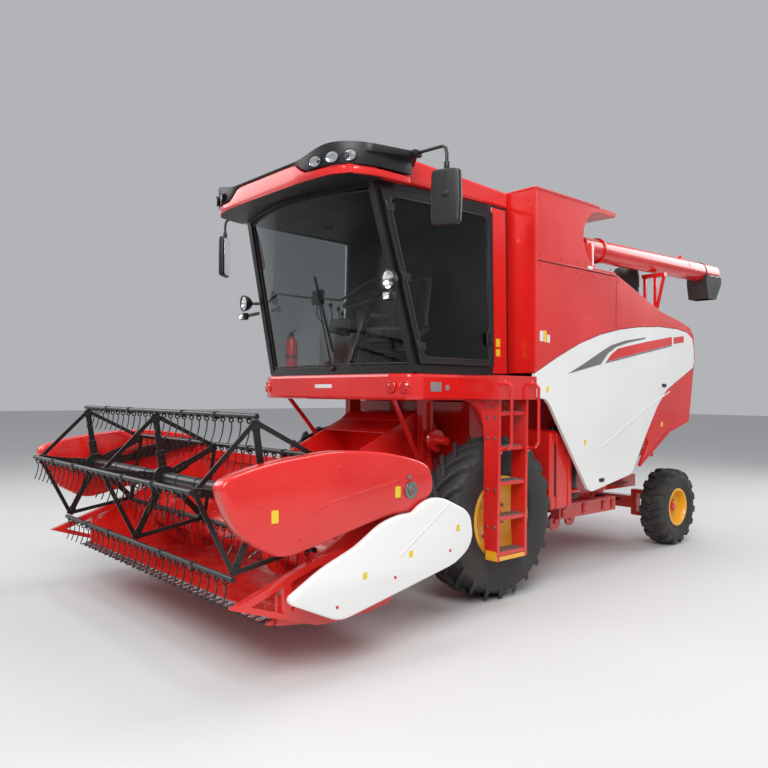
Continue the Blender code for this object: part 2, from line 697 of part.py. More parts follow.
def auger_rest():
    """Frame on the hood under the folded unloading auger."""
    y = AUGER_REST_Y
    top = AUGER_Z + AUGER_RISE * (y - AUGER_Y) / AUGER_LENGTH - AUGER_RADIUS - CLEAR
    foot = 2.490
    return [
        box((0.945, y - 0.015, foot), (0.975, y + 0.015, top - 0.030)),
        box((1.065, y - 0.015, foot), (1.095, y + 0.015, top - 0.030)),
        box((0.935, y - 0.030, top - 0.045), (1.195, y + 0.030, top - 0.004)),
        beam((1.085, y, foot + 0.060), (1.180, y, top - 0.030), 0.026, 0.026, upright=(0, 1, 0)),
    ]


def side_panel(side, body_name):
    low, high = sorted((side * (BODY_HALF_WIDTH - SKIN), side * BODY_HALF_WIDTH))
    panel = finish(plate(white_outline(), "X", low, high), f"side_panel_{body_name}", "white")
    empty = axis_empty(f"side_panel_{body_name}_axis", (side * BODY_HALF_WIDTH, 1.9, SIDE_PANEL_HINGE_Z))
    carry(panel, empty)


def straw_deflector():
    sheet = strip([(3.050, 1.130), (3.200, 1.060), (3.330, 0.960)], 0.020)
    pieces = [plate(sheet, "X", -0.740, 0.740)]
    cheek = [(3.060, 1.155), (3.060, 1.115), (3.200, 1.045), (3.320, 0.960), (3.330, 1.000), (3.200, 1.150)]
    for side in (-1, 1):
        low, high = sorted((side * 0.735, side * 0.755))
        pieces.append(plate(cheek, "X", low, high))
    return finish(union(pieces), "straw_deflector", "red")


def air_intake():
    x, y = AIR_INTAKE_PLACE
    (first_y, first_z), (last_y, last_z) = HOOD_TOP[:2]
    highest = first_z + (last_z - first_z) * (y - INTAKE_PIPE_RADIUS - first_y) / (last_y - first_y)
    foot = highest + GAP
    intake = union([
        cylinder((x, y, foot), (x, y, INTAKE_BOWL_LOW + 0.020), INTAKE_PIPE_RADIUS, 14),
        cylinder((x, y, INTAKE_BOWL_LOW), (x, y, INTAKE_TOP), INTAKE_BOWL_RADIUS, 18),
    ])
    return finish(intake, "air_intake", "black")


# ---------------------------------------------------------------- unloading auger
def unloading_auger():
    end = (AUGER_X, AUGER_END_Y, AUGER_Z + AUGER_RISE)
    start = (AUGER_X, AUGER_Y - 0.060, AUGER_Z)
    auger = union([
        cylinder((AUGER_X, AUGER_Y, ELBOW_BASE_Z), (AUGER_X, AUGER_Y, AUGER_Z + 0.040), ELBOW_RADIUS, 18),
        cylinder(start, end, AUGER_RADIUS, 18),
    ])
    finish(auger, "unloading_auger", "red")
    way = Vector((0, AUGER_LENGTH, AUGER_RISE)).normalized()
    mouth = Vector(end)
    outline = [(mouth.y - 0.385, mouth.z - 0.060), (mouth.y + 0.006, mouth.z - 0.052),
               (mouth.y + 0.006, mouth.z - 0.125), (mouth.y - 0.135, mouth.z - 0.325),
               (mouth.y - 0.340, mouth.z - 0.325), (mouth.y - 0.385, mouth.z - 0.150)]
    spout = plate(outline, "X", AUGER_X - SPOUT_HALF_WIDTH, AUGER_X + SPOUT_HALF_WIDTH)
    hollow = [(mouth.y - 0.362, mouth.z - 0.080), (mouth.y - 0.020, mouth.z - 0.080),
              (mouth.y - 0.020, mouth.z - 0.130), (mouth.y - 0.160, mouth.z - 0.328),
              (mouth.y - 0.160, mouth.z - 0.400), (mouth.y - 0.318, mouth.z - 0.400),
              (mouth.y - 0.318, mouth.z - 0.328), (mouth.y - 0.362, mouth.z - 0.156)]
    inside = SPOUT_HALF_WIDTH - SPOUT_WALL
    spout = cut(spout, [plate(hollow, "X", AUGER_X - inside, AUGER_X + inside)])
    room = cylinder(mouth - way * 0.5, mouth + way * 0.1, AUGER_RADIUS + 0.0015, 18)
    finish(cut(spout, [room]), "unloading_spout", "rubber")
    empty = axis_empty("unloading_auger_axis", (AUGER_X, AUGER_Y, AUGER_Z))
    carry(bpy.data.objects["unloading_auger"], empty)
    carry(bpy.data.objects["unloading_spout"], empty)


# ---------------------------------------------------------------- cab
def cab_platform():
    half = PLATFORM_HALF_WIDTH
    front = PLATFORM_FRONT_Y
    outline = [(-half, CAB_REAR_Y), (-half, front + 0.170), (-half + 0.060, front + 0.060),
               (-half + 0.220, front), (half - 0.220, front), (half - 0.060, front + 0.060),
               (half, front + 0.170), (half, CAB_REAR_Y)]
    floor = CAB_FLOOR - PLATFORM_DEPTH
    pieces = [
        rounded_edges(plate(outline, "Z", floor, CAB_FLOOR), 0.025, 2),
        box((half - 0.060, LADDER_FRONT_Y - 0.060, floor + 0.012),
            (LANDING_OUTER_X, LADDER_FRONT_Y + LADDER_WIDTH + 0.060, CAB_FLOOR - 0.012)),
    ]
    for side in (-1, 1):
        pieces.append(tube([(side * 0.740, front + 0.130, floor + 0.030), (side * 0.600, -0.300, 1.000),
                            (side * 0.570, -0.240, 0.9203)], 0.022, sides=1))
    return finish(union(pieces), "cab_platform", "red")


def pillar_line(foot, head, z):
    part = (z - CAB_FLOOR) / (CAB_HEAD - CAB_FLOOR)
    return tuple(a + (b - a) * part for a, b in zip(foot, head))


def screen_bow(across, z):
    """How far the windscreen stands out ahead of the pillars; across runs from -1 to 1."""
    part = (z - CAB_FLOOR) / (CAB_HEAD - CAB_FLOOR)
    return (SCREEN_BULGE_LOW + (SCREEN_BULGE_HIGH - SCREEN_BULGE_LOW) * part) * (1 - across ** 2)


def bow_line(z, ahead):
    """Points (x, y) across the cab's front, a distance ahead of the windscreen's middle."""
    x_edge, y_edge = pillar_line(A_PILLAR_FOOT, A_PILLAR_HEAD, z)
    steps = [-1 + step / 6 for step in range(13)]
    return [(x_edge * step, y_edge - ahead - screen_bow(step, z)) for step in steps]


def screen_rail(low, high):
    """Bowed rail under or over the windscreen."""
    middle = (low + high) / 2
    return plate(bow_line(middle, 0.024) + bow_line(middle, -0.026)[::-1], "Z", low, high)


def cab_frame():
    low = CAB_FLOOR + GAP
    sill_top = low + SILL
    head_low = CAB_HEAD - SILL
    pieces = []
    for side in (-1, 1):
        inset = PILLAR / 4       # keeps the square ends of the leaning pillar inside the rails
        foot = pillar_line(A_PILLAR_FOOT, A_PILLAR_HEAD, low + inset)
        head = pillar_line(A_PILLAR_FOOT, A_PILLAR_HEAD, CAB_HEAD - inset)
        pieces.append(beam((side * foot[0], foot[1], low + inset), (side * head[0], head[1], CAB_HEAD - inset),
                      PILLAR, PILLAR, upright=(0, 1, 0)))
        rear_low, rear_high = sorted((side * (C_PILLAR_FOOT[0] - 0.030), side * (C_PILLAR_FOOT[0] + 0.015)))
        half = C_PILLAR_DEPTH / 2
        post = box((rear_low, C_PILLAR_FOOT[1] - half, low + 0.002),
                   (rear_high, C_PILLAR_FOOT[1] + half, CAB_HEAD - 0.002))
        lean = C_PILLAR_HEAD[0] - C_PILLAR_FOOT[0]
        pieces.append(warp(post, lambda x, y, z: (x + side * lean * (z - low) / (CAB_HEAD - low), y, z)))
        for foot_z, height in ((low, SILL), (head_low, SILL)):
            first = pillar_line(A_PILLAR_FOOT, A_PILLAR_HEAD, foot_z + height / 2)
            last = pillar_line(C_PILLAR_FOOT, C_PILLAR_HEAD, foot_z + height / 2)
            pieces.append(beam((side * (first[0] - 0.006), first[1], foot_z + height / 2),
                               (side * (last[0] - 0.006), last[1], foot_z + height / 2), 0.050, height))
    for foot_z in (low, head_low):
        pieces.append(screen_rail(foot_z + 0.001, foot_z + SILL - 0.001))
    pieces.append(box((-0.965, CAB_REAR_Y - 0.040, low + 0.001), (0.965, CAB_REAR_Y - 0.013,
                  CAB_HEAD - 0.001)))
    return finish(union(pieces), "cab_frame", "black")


def roof_outline(grow=0.0):
    half = ROOF_HALF_WIDTH + grow
    front = ROOF_FRONT_Y - grow
    left = [(half, ROOF_REAR_Y), (half, -0.900), (half - 0.020, -1.200 - grow / 2),
            (half - 0.080, -1.365 - 0.8 * grow), (half - 0.200, front + 0.045), (half - 0.400, front + 0.015),
            (half - 0.620, front)]
    return left + [(-x, y) for x, y in left[::-1]]


def cab_roof():
    low = CAB_HEAD + GAP + 0.002
    profile = [(ROOF_REAR_Y, low), (ROOF_REAR_Y, ROOF_TOP_REAR), (ROOF_BREAK_Y, ROOF_TOP_MIDDLE),
               (ROOF_FRONT_Y - 0.1, ROOF_TOP_FRONT - 0.010), (ROOF_FRONT_Y - 0.1, low)]
    slab = plate(profile, "X", -2, 2)
    shape = plate(roof_outline(), "Z", low - 0.1, ROOF_TOP_MIDDLE + 0.1)
    roof = rounded_edges(boolean(shape, slab, "INTERSECT"), 0.025, 2)
    brow = plate(roof_outline(BROW_DEPTH), "Z", BROW_BOTTOM, BROW_TOP)
    brow = cut(brow, [box((-2, -1.200, 3), (2, 1, 4))])
    centre = plate(roof_outline(BROW_DEPTH), "Z", BROW_BOTTOM + 0.001, BROW_CENTRE_TOP)
    centre = cut(centre, [box((-2, -1.250, 3), (2, 1, 4)), box((BROW_CENTRE_HALF, -2, 3), (2, 0, 4)),
                          box((-2, -2, 3), (-BROW_CENTRE_HALF, 0, 4))])
    pad_y, pad_radius, pad_top = BEACON_PAD
    pad = cylinder((0, pad_y, pad_top - 0.060), (0, pad_y, pad_top), pad_radius, 16)
    behind_brow = bow_line(CAB_HEAD - SILL / 2, 0.032)
    room = plate([(-1.0, -1.0)] + behind_brow + [(1.0, -1.0)], "Z", BROW_BOTTOM - 0.1, low)
    return finish(union([roof, cut(union([brow, centre]), [room]), pad]), "cab_roof", "red")


def visor_top(x):
    """Height of the visor's upper edge: low across the middle, highest over the corner lamps."""
    along = abs(x)
    if along < BROW_CENTRE_HALF + 0.020:
        return VISOR_STRIP_TOP
    if along < 0.800:
        return VISOR_STRIP_TOP + (VISOR_PEAK - VISOR_STRIP_TOP) * (along - 0.450) / 0.350
    return VISOR_PEAK


def cab_visor():
    low = BROW_TOP + GAP
    band = plate(roof_outline(VISOR_WIDTH), "Z", low, VISOR_PEAK)
    strip_low = BROW_CENTRE_TOP + GAP
    band = cut(band, [
        plate(roof_outline(0.002), "Z", low - 0.1, VISOR_PEAK + 0.1),
        box((-2, VISOR_REAR_Y, 3), (2, 1, 4)),
        box((-BROW_CENTRE_HALF - 0.004, -2, 3), (BROW_CENTRE_HALF + 0.004, 0, strip_low)),
    ])
    warp(band, lambda x, y, z: (x, y, visor_top(x) if z > VISOR_PEAK - 0.001 else z))
    pieces = [band]
    for side in (-1, 1):
        wing = [(0.972, -1.330), (1.030, -1.300), (WING_TIP_X, -0.970), (WING_TIP_X, -0.920), (0.972, -0.800)]
        wing = plate([(side * x, y) for x, y in wing], "Z", WING_BOTTOM, VISOR_SIDE_TOP)
        pieces.append(wing)
    return finish(union(pieces), "cab_visor", "black")


def windscreen():
    rows, columns = 1, 12
    low = CAB_FLOOR + GAP + SILL + 0.004
    high = CAB_HEAD - SILL - 0.004
    sheet = bmesh.new()
    bmesh.ops.create_grid(sheet, x_segments=columns, y_segments=rows, size=1.0)
    for vertex in sheet.verts:
        z = low + (high - low) * (vertex.co.y + 1) / 2
        x_edge, y_edge = pillar_line(A_PILLAR_FOOT, A_PILLAR_HEAD, z)
        half = x_edge - PILLAR / 2 - 0.008
        vertex.co = (half * vertex.co.x, y_edge - screen_bow(vertex.co.x, z), z)
    made = object_from_bmesh("windscreen", sheet)
    wall = made.modifiers.new("glass", "SOLIDIFY")
    wall.thickness = GLASS
    wall.offset = 0
    return finish(bake(made), "windscreen", "glass")


def side_patch(side, lap, out_from):
    """Maps (along, up, out) onto the cab's side; lap is how far it covers the posts at each end."""
    low = CAB_FLOOR + GAP + SILL + 0.006
    high = CAB_HEAD - SILL - 0.006

    def place(along, up, out):
        z = low + (high - low) * up
        x_front, y_front = pillar_line(A_PILLAR_FOOT, A_PILLAR_HEAD, z)
        x_rear, y_rear = pillar_line(C_PILLAR_FOOT, C_PILLAR_HEAD, z)
        first_y = y_front + PILLAR / 2 - lap
        last_y = y_rear - C_PILLAR_DEPTH / 2 + lap
        y = first_y + (last_y - first_y) * along
        x = x_front + (x_rear - x_front) * along + out_from + out
        return (side * x, y, z)
    return place


def door_patch():
    return side_patch(1, DOOR_LAP, DOOR_STAND_OFF)


def flat_ring(margin_along, margin_up):
    outer = [(0, 0), (1, 0), (1, 1), (0, 1)]
    inner = corner_arcs([(margin_along, margin_up), (1 - margin_along, margin_up),
                         (1 - margin_along, 1 - margin_up), (margin_along, 1 - margin_up)], 0.06, 3)
    ring = plate(outer, "Z", -DOOR_THICKNESS / 2, DOOR_THICKNESS / 2)
    window = plate(inner, "Z", -0.1, 0.1)
    return cut(ring, [window]), inner


def cab_side(side):
    """Door on the left, fixed window on the right."""
    if side < 0:
        place = side_patch(side, -0.009, 0)
        pane = plate([(0, 0), (1, 0), (1, 1), (0, 1)], "Z", -GLASS / 2, GLASS / 2)
        warp(pane, place)
        pane.data.flip_normals()
        return finish(pane, "side_window_right", "glass")
    place = door_patch()
    ring, inner = flat_ring(0.060, 0.042)
    warp(ring, place)
    finish(bake(ring), "cab_door", "black")
    shrink = 0.002
    pane_outline = [(0.5 + (u - 0.5) * (1 - shrink), 0.5 + (v - 0.5) * (1 - shrink)) for u, v in inner]
    pane = plate(pane_outline, "Z", -GLASS / 2, GLASS / 2)
    warp(pane, place)
    finish(bake(pane), "cab_door_glass", "glass")
    empty = axis_empty("cab_door_axis", door_hinge()[0])
    carry(bpy.data.objects["cab_door"], empty)
    carry(bpy.data.objects["cab_door_glass"], empty)
    return empty


def door_hinge():
    """Two points on the door's slanted hinge line, just outside its front edge."""
    place = door_patch()
    out = DOOR_THICKNESS / 2 + 0.006
    low = Vector(place(0, 0, out))
    high = Vector(place(0, 1, out))
    return low, high


def seat():
    low = CAB_FLOOR + GAP
    pieces = [
        box((-0.190, -0.280, low), (0.190, 0.060, 2.160), 0.02),
        box((-0.255, -0.430, 2.140), (0.255, 0.100, 2.270), 0.03),
        beam((0, 0.080, 2.230), (0, 0.170, 2.900), 0.460, 0.120, upright=(0, 1, 0)),
    ]
    return finish(union(pieces), "seat", "seat_cloth")


def controls():
    low = CAB_FLOOR + GAP
    wheel_centre = Vector((0.0, -0.500, 2.520))
    lean = radians(28)
    ring_points = []
    for step in range(20):
        angle = 2 * pi * step / 20
        ring_points.append(wheel_centre + Vector((0.190 * cos(angle), 0.190 * sin(angle) * cos(lean),
                                                   0.190 * sin(angle) * sin(lean))))
    down = Vector((0, sin(lean), -cos(lean)))
    pieces = [
        tube(ring_points, 0.014, cyclic=True, sides=1),
        cylinder(wheel_centre + down * 0.030, wheel_centre - down * 0.012, 0.035, 12),
        beam(wheel_centre - Vector((0.188, 0, 0)), wheel_centre + Vector((0.188, 0, 0)), 0.020, 0.010),
        beam(wheel_centre + down * 0.010, (0, -0.680, low + 0.030), 0.080, 0.080, upright=(0, 1, 0)),
        box((-0.560, -0.720, low), (0.110, -0.450, low + 0.020)),
        box((-0.560, -0.560, low + 0.010), (-0.330, 0.020, 2.330), 0.02),
    ]
    return finish(union(pieces), "controls", "dark_trim")


def mirror(side, body_name):
    case = box((side * MIRROR_X - MIRROR_HALF_WIDTH, MIRROR_Y - 0.045, MIRROR_Z - MIRROR_HALF_HEIGHT),
               (side * MIRROR_X + MIRROR_HALF_WIDTH, MIRROR_Y + 0.045, MIRROR_Z + MIRROR_HALF_HEIGHT))
    case = rounded_edges(case, 0.035, 2)
    arm_y = -0.945
    top = 3.410
    arm = tube([(side * (WING_TIP_X + 0.0006), arm_y, 3.460), (side * (WING_TIP_X + 0.080), arm_y, 3.460),
                (side * (MIRROR_X - 0.060), MIRROR_Y + 0.020, top),
                (side * (MIRROR_X - 0.015), MIRROR_Y, top - 0.015), (side * MIRROR_X, MIRROR_Y, top - 0.060),
                (side * MIRROR_X, MIRROR_Y, MIRROR_Z + MIRROR_HALF_HEIGHT - 0.050)], 0.013, sides=1)
    return finish(union([case, arm]), f"mirror_{body_name}", "dark_trim")


# ---------------------------------------------------------------- ladder
def access_ladder():
    top = CAB_FLOOR - PLATFORM_DEPTH + 0.012 - GAP
    rear_y = LADDER_FRONT_Y + LADDER_WIDTH
    pieces = []
    side_outline = [(LADDER_INNER_X, top), (LADDER_OUTER_X, top), (LADDER_OUTER_X - 0.010, 0.640),
                    (LADDER_OUTER_X - 0.010, LADDER_FOOT_Z), (LADDER_INNER_X + 0.020, LADDER_FOOT_Z),
                    (LADDER_INNER_X, 0.620)]
    for y in (LADDER_FRONT_Y, rear_y - LADDER_SHEET):
        pieces.append(plate(side_outline, "Y", y, y + LADDER_SHEET))
    for index in range(5):
        step_z = FIRST_STEP_Z + index * STEP_PITCH
        pieces.append(box((LADDER_INNER_X + 0.004, LADDER_FRONT_Y + 0.010, step_z),
                          (LADDER_OUTER_X - 0.014, rear_y - 0.010, step_z + 0.028)))
    for y in (LADDER_FRONT_Y + LADDER_SHEET / 2, rear_y - LADDER_SHEET / 2):
        rail = [(LANDING_OUTER_X + 0.0006, y, 1.755), (1.505, y, 1.755), (1.535, y, 1.725),
                (1.535, y, 1.300), (1.505, y, 1.255), (LADDER_OUTER_X - 0.050, y, 1.235)]
        pieces.append(tube(rail, 0.013, sides=1))
    return finish(union(pieces), "access_ladder", "red")


# ---------------------------------------------------------------- header
def feeder_house():
    pivot = (HEADER_PIVOT_Y, HEADER_PIVOT_Z)
    front = HEADER_BACK_Y + 0.020 + GAP
    low, high = 0.440, 0.980
    reach = FEEDER_END_RADIUS
    outline = [(front, low), (pivot[0] + 0.060, pivot[1] - reach + 0.010),
               (pivot[0] - 0.020, pivot[1] + reach - 0.010), (front, high)]
    house = plate(outline, "X", -FEEDER_HALF_WIDTH, FEEDER_HALF_WIDTH)
    end = cylinder((-FEEDER_HALF_WIDTH + 0.001, *pivot), (FEEDER_HALF_WIDTH - 0.001, *pivot), reach, 24)
    house = union([house, end])
    tunnel = [(front - 0.1, low + 0.030), (front - 0.1, high - 0.030), (-0.420, 1.410), (-0.330, 1.080)]
    inside = FEEDER_HALF_WIDTH - 0.030
    house = cut(house, [plate(tunnel, "X", -inside, inside)])
    eye = CYLINDER_EYE
    for side in (-1, 1):
        low_x, high_x = sorted((side * (CYLINDER_X + 0.040), side * (CYLINDER_X + 0.070)))
        lug = [(eye[0] - 0.050, 0.760), (eye[0] - 0.045, eye[1] - 0.030), (eye[0] + 0.045, eye[1] - 0.030),
               (eye[0] + 0.120, 0.800)]
        house = union([house, plate(lug, "X", low_x, high_x)])
    return finish(house, "feeder_house", "red")


def trough_line():
    """Floor and back of the header, from the knife to the top of the back sheet."""
    bowl = arc((TABLE_AUGER_Y, TABLE_AUGER_Z), BOWL_RADIUS, radians(-98), radians(-8), 5)
    return [(KNIFE_Y, KNIFE_Z), (-2.100, 0.312)] + bowl + [(HEADER_BACK_Y, 0.700), (HEADER_BACK_Y, 1.080)]


def header_trough():
    line = trough_line()
    sheet = 0.020
    half = HEADER_HALF_WIDTH + 0.005
    pieces = [plate(strip(line, -sheet), "X", -half, half)]
    end_outline = [(KNIFE_Y, KNIFE_Z - 0.022), (-1.900, 0.268), (-1.500, 0.300), (HEADER_BACK_Y + 0.018, 0.440),
                   (HEADER_BACK_Y + 0.018, 1.090), (HEADER_BACK_Y - 0.130, 1.110), (-1.750, 0.860),
                   (-2.150, 0.640), (KNIFE_Y, 0.500)]
    for side in (-1, 1):
        low, high = sorted((side * HEADER_HALF_WIDTH, side * (HEADER_HALF_WIDTH + END_SHEET)))
        pieces.append(plate(end_outline, "X", low, high))
    pieces.append(box((-half, HEADER_BACK_Y - 0.020, 1.060), (half, HEADER_BACK_Y + 0.060, 1.140)))
    pieces.append(box((-half, KNIFE_Y - 0.045, KNIFE_Z - 0.018), (half, KNIFE_Y + 0.020, KNIFE_Z + 0.006)))
    trough = union(pieces)
    inside = FEEDER_HALF_WIDTH - 0.030
    throat = box((-inside, HEADER_BACK_Y - 0.1, 0.470), (inside, HEADER_BACK_Y + 0.1, 0.950))
    return finish(cut(trough, [throat]), "header_trough", "red")


def table_auger():
    reach = HEADER_HALF_WIDTH - CLEAR
    drum = cylinder((-reach, TABLE_AUGER_Y, TABLE_AUGER_Z), (reach, TABLE_AUGER_Y, TABLE_AUGER_Z),
                    TABLE_AUGER_TUBE, 20)
    return finish(drum, "table_auger", "red")


DRIVE_COVER = [(-2.795, 1.165), (-2.765, 1.205), (-2.600, 1.255), (-2.430, 1.287), (-2.070, 1.325),
               (-1.860, 1.322), (-1.660, 1.305), (-1.480, 1.272), (-1.350, 1.240), (-1.250, 1.200),
               (-1.205, 1.130), (-1.200, 1.010), (-1.270, 0.970), (-1.320, 0.918), (-1.420, 0.896),
               (-1.560, 0.902), (-1.800, 0.858), (-2.090, 0.795), (-2.340, 0.742), (-2.440, 0.752),
               (-2.630, 0.860), (-2.720, 0.965), (-2.775, 1.090)]
CROP_SHIELD = [(-2.392, 0.528), (-2.160, 0.655), (-1.915, 0.745), (-1.840, 0.785), (-1.710, 0.865),
               (-1.550, 0.905), (-1.430, 0.905), (-1.370, 0.950), (-1.260, 0.990), (-1.150, 0.975),
               (-0.940, 0.880), (-0.890, 0.830), (-0.862, 0.690), (-0.910, 0.600), (-1.040, 0.522),
               (-1.980, 0.336), (-2.060, 0.340), (-2.385, 0.490)]


def header_side(side, body_name, lift):
    low, high = sorted((side * (HEADER_HALF_WIDTH + END_SHEET + GAP), side * DRIVE_COVER_OUTER_X))
    cover = finish(plate(DRIVE_COVER, "X", low, high), f"reel_drive_cover_{body_name}", "red")
    low, high = sorted((side * (SHIELD_OUTER_X - SHIELD_THICKNESS), side * SHIELD_OUTER_X))
    shield = finish(plate(CROP_SHIELD, "X", low, high), f"crop_shield_{body_name}", "white")
    nose = [(DIVIDER_TIP_Y, 0.489), (-2.254, 0.640), (-2.100, 0.690), (-1.900, 0.720), (-1.900, 0.284),
            (-2.110, 0.294)]
    hole_front = [(-2.560, 0.484), (-2.345, 0.560), (-2.345, 0.408)]
    hole_rear = [(-2.290, 0.580), (-2.110, 0.640), (-1.960, 0.650), (-2.290, 0.410)]
    low = side * (HEADER_HALF_WIDTH + END_SHEET + GAP)
    high = low + side * DIVIDER_THICKNESS
    low, high = sorted((low, high))
    divider = plate(nose, "X", low, high)
    holes = [plate(hole, "X", low - 0.1, high + 0.1) for hole in (hole_front, hole_rear)]
    finish(cut(divider, holes), f"crop_divider_{body_name}", "red")
    for item in (cover, shield, bpy.data.objects[f"crop_divider_{body_name}"]):
        carry(item, lift)


def reel_arm(side, body_name, pivot):
    inner = side * (REEL_HALF_LENGTH + CLEAR)
    outer = inner + side * REEL_ARM_THICKNESS
    low, high = sorted((inner, outer))
    y0, z0 = REEL_ARM_PIVOT_Y, REEL_ARM_PIVOT_Z
    outline = [(y0 + 0.030, z0 + 0.030), (y0 + 0.030, z0 - 0.030), (y0 - 0.300, z0 - 0.100),
               (REEL_Y + 0.040, REEL_Z - 0.050), (REEL_Y - 0.050, REEL_Z - 0.030),
               (REEL_Y - 0.050, REEL_Z + 0.040), (REEL_Y + 0.300, REEL_Z + 0.060), (y0 - 0.200, z0 + 0.045)]
    arm = finish(plate(outline, "X", low, high), f"reel_arm_{body_name}", "black")
    carry(arm, pivot)


def bar_place(index):
    angle = REEL_FIRST_BAR + 2 * pi * index / REEL_BARS
    return REEL_Y - REEL_RADIUS * sin(angle), REEL_Z + REEL_RADIUS * cos(angle)


def reel(pivot):
    empty = axis_empty("reel_axis", (0, REEL_Y, REEL_Z), pivot)
    pieces = [cylinder((-REEL_HALF_LENGTH, REEL_Y, REEL_Z), (REEL_HALF_LENGTH, REEL_Y, REEL_Z),
                       REEL_TUBE_RADIUS, 14)]
    spoke_end = REEL_RADIUS - TINE_BAR_RADIUS - 0.004
    for x in (-REEL_HALF_LENGTH + 0.030, 0, REEL_HALF_LENGTH - 0.030):
        tips = []
        for index in range(REEL_BARS):
            y, z = bar_place(index)
            centre = Vector((x, REEL_Y, REEL_Z))
            out = (Vector((x, y, z)) - centre).normalized()
            pieces.append(beam(centre, centre + out * spoke_end, 0.008, 0.045, upright=out.cross((1, 0, 0))))
            tips.append(centre + out * (spoke_end - REEL_LINK_INSET))
        for first, second in zip(tips, tips[1:] + tips[:1]):
            middle = (first + second) / 2 - Vector((x, REEL_Y, REEL_Z))
            pieces.append(beam(first, second, 0.006, 0.030, upright=middle))
    frame = finish(union(pieces), "reel_frame", "black")
    carry(frame, empty)
    for index in range(REEL_BARS):
        y, z = bar_place(index)
        bar = cylinder((-REEL_HALF_LENGTH, y, z), (REEL_HALF_LENGTH, y, z), TINE_BAR_RADIUS, 10)
        finish(bar, f"tine_bar_{index + 1}", "black")
        bar_axis = axis_empty(f"tine_bar_{index + 1}_axis", (0, y, z), empty)
        carry(bar, bar_axis)


def lift_cylinders():
    foot = Vector((0, *CYLINDER_FOOT))
    eye = Vector((0, *CYLINDER_EYE))
    way = (eye - foot).normalized()
    length = (eye - foot).length
    barrel_pieces = [cylinder((-0.300, *CYLINDER_FOOT), (0.300, *CYLINDER_FOOT), 0.024, 12)]
    rod_pieces = [cylinder((-CYLINDER_X - 0.036, *CYLINDER_EYE), (CYLINDER_X + 0.036, *CYLINDER_EYE),
                           0.020, 12)]
    for side in (-1, 1):
        across = Vector((side * CYLINDER_X, 0, 0))
        barrel = cylinder(foot + across + way * 0.010, foot + across + way * (length - ROD_STROKE_DOWN),
                          BARREL_RADIUS, 14)
        bore = cylinder(foot + across + way * 0.070, foot + across + way * length, ROD_RADIUS + 0.002, 12)
        barrel_pieces.append(cut(barrel, [bore]))
        rod_pieces.append(cylinder(foot + across + way * 0.200, eye + across, ROD_RADIUS, 12))
    barrels = finish(union(barrel_pieces), "lift_barrels", "black")
    rods = finish(union(rod_pieces), "lift_rods", "bare_steel")
    foot_empty = axis_empty("lift_barrel_axis", foot)
    carry(barrels, foot_empty)
    carry(rods, foot_empty)


def header():
    lift = axis_empty("header_axis", (0, HEADER_PIVOT_Y, HEADER_PIVOT_Z))
    for item in (feeder_house(), header_trough(), table_auger()):
        carry(item, lift)
    for side, body_name in ((1, "left"), (-1, "right")):
        header_side(side, body_name, lift)
    pivot = axis_empty("reel_arm_axis", (0, REEL_ARM_PIVOT_Y, REEL_ARM_PIVOT_Z), lift)
    for side, body_name in ((1, "left"), (-1, "right")):
        reel_arm(side, body_name, pivot)
    reel(pivot)
    lift_cylinders()


def move_to_origin():
    """Puts the origin on the ground under the middle of the overall length."""
    bpy.context.view_layer.update()
    reach = []
    for item in PARTS.objects:
        if item.type == "MESH":
            reach += [(item.matrix_world @ vertex.co).y for vertex in item.data.vertices]
    shift = (min(reach) + max(reach)) / 2
    for item in PARTS.objects:
        if item.parent is None:
            item.location.y -= shift
    bpy.context.view_layer.update()


def build():
    for side, body_name in ((1, "left"), (-1, "right")):
        front_wheel(side, body_name)
        rear_wheel(side, body_name)
        side_panel(side, body_name)
        mirror(side, body_name)
    chassis_frame()
    drive_axle()
    steer_axle()
    thresher_body()
    fuel_tank()
    engine()
    grain_tank()
    engine_hood()
    straw_deflector()
    air_intake()
    unloading_auger()
    cab_platform()
    cab_frame()
    cab_roof()
    cab_visor()
    windscreen()
    cab_side(1)
    cab_side(-1)
    seat()
    controls()
    access_ladder()
    header()
    move_to_origin()


build()
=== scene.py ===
"""Looks of the combine harvester: finishes, tread, tines, lamps, cab fittings and small parts.

Places are in metres from the front axle: y = 0 at the axle and negative ahead of it, +X to the
machine's left, z = 0 on the ground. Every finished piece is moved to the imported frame's own y.
"""
from math import cos, pi, radians, sin

import bmesh
import bpy
from mathutils import Matrix, Vector


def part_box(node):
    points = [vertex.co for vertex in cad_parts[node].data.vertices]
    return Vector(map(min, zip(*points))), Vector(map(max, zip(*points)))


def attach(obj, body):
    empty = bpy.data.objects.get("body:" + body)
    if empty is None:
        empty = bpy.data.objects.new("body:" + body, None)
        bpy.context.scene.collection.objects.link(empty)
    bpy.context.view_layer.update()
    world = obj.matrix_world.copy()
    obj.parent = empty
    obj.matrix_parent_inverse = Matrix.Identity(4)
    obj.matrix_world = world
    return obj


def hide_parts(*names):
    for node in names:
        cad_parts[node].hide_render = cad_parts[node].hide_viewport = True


bl_info = {
    "name": "Combine Harvester Looks",
    "version": (1, 0, 0),
    "blender": (4, 5, 0),
    "location": "View3D > Sidebar > Combine",
    "description": "Adds finishes and detailed pieces to the packed combine harvester",
    "category": "Object",
}

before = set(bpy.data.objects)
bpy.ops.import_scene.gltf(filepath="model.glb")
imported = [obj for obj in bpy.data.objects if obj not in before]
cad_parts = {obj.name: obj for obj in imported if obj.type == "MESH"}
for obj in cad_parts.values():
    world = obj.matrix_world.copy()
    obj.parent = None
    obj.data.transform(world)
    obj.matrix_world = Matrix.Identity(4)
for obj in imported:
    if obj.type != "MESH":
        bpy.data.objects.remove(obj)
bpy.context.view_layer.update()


def middle_y(node):
    low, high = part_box(node)
    return (low.y + high.y) / 2


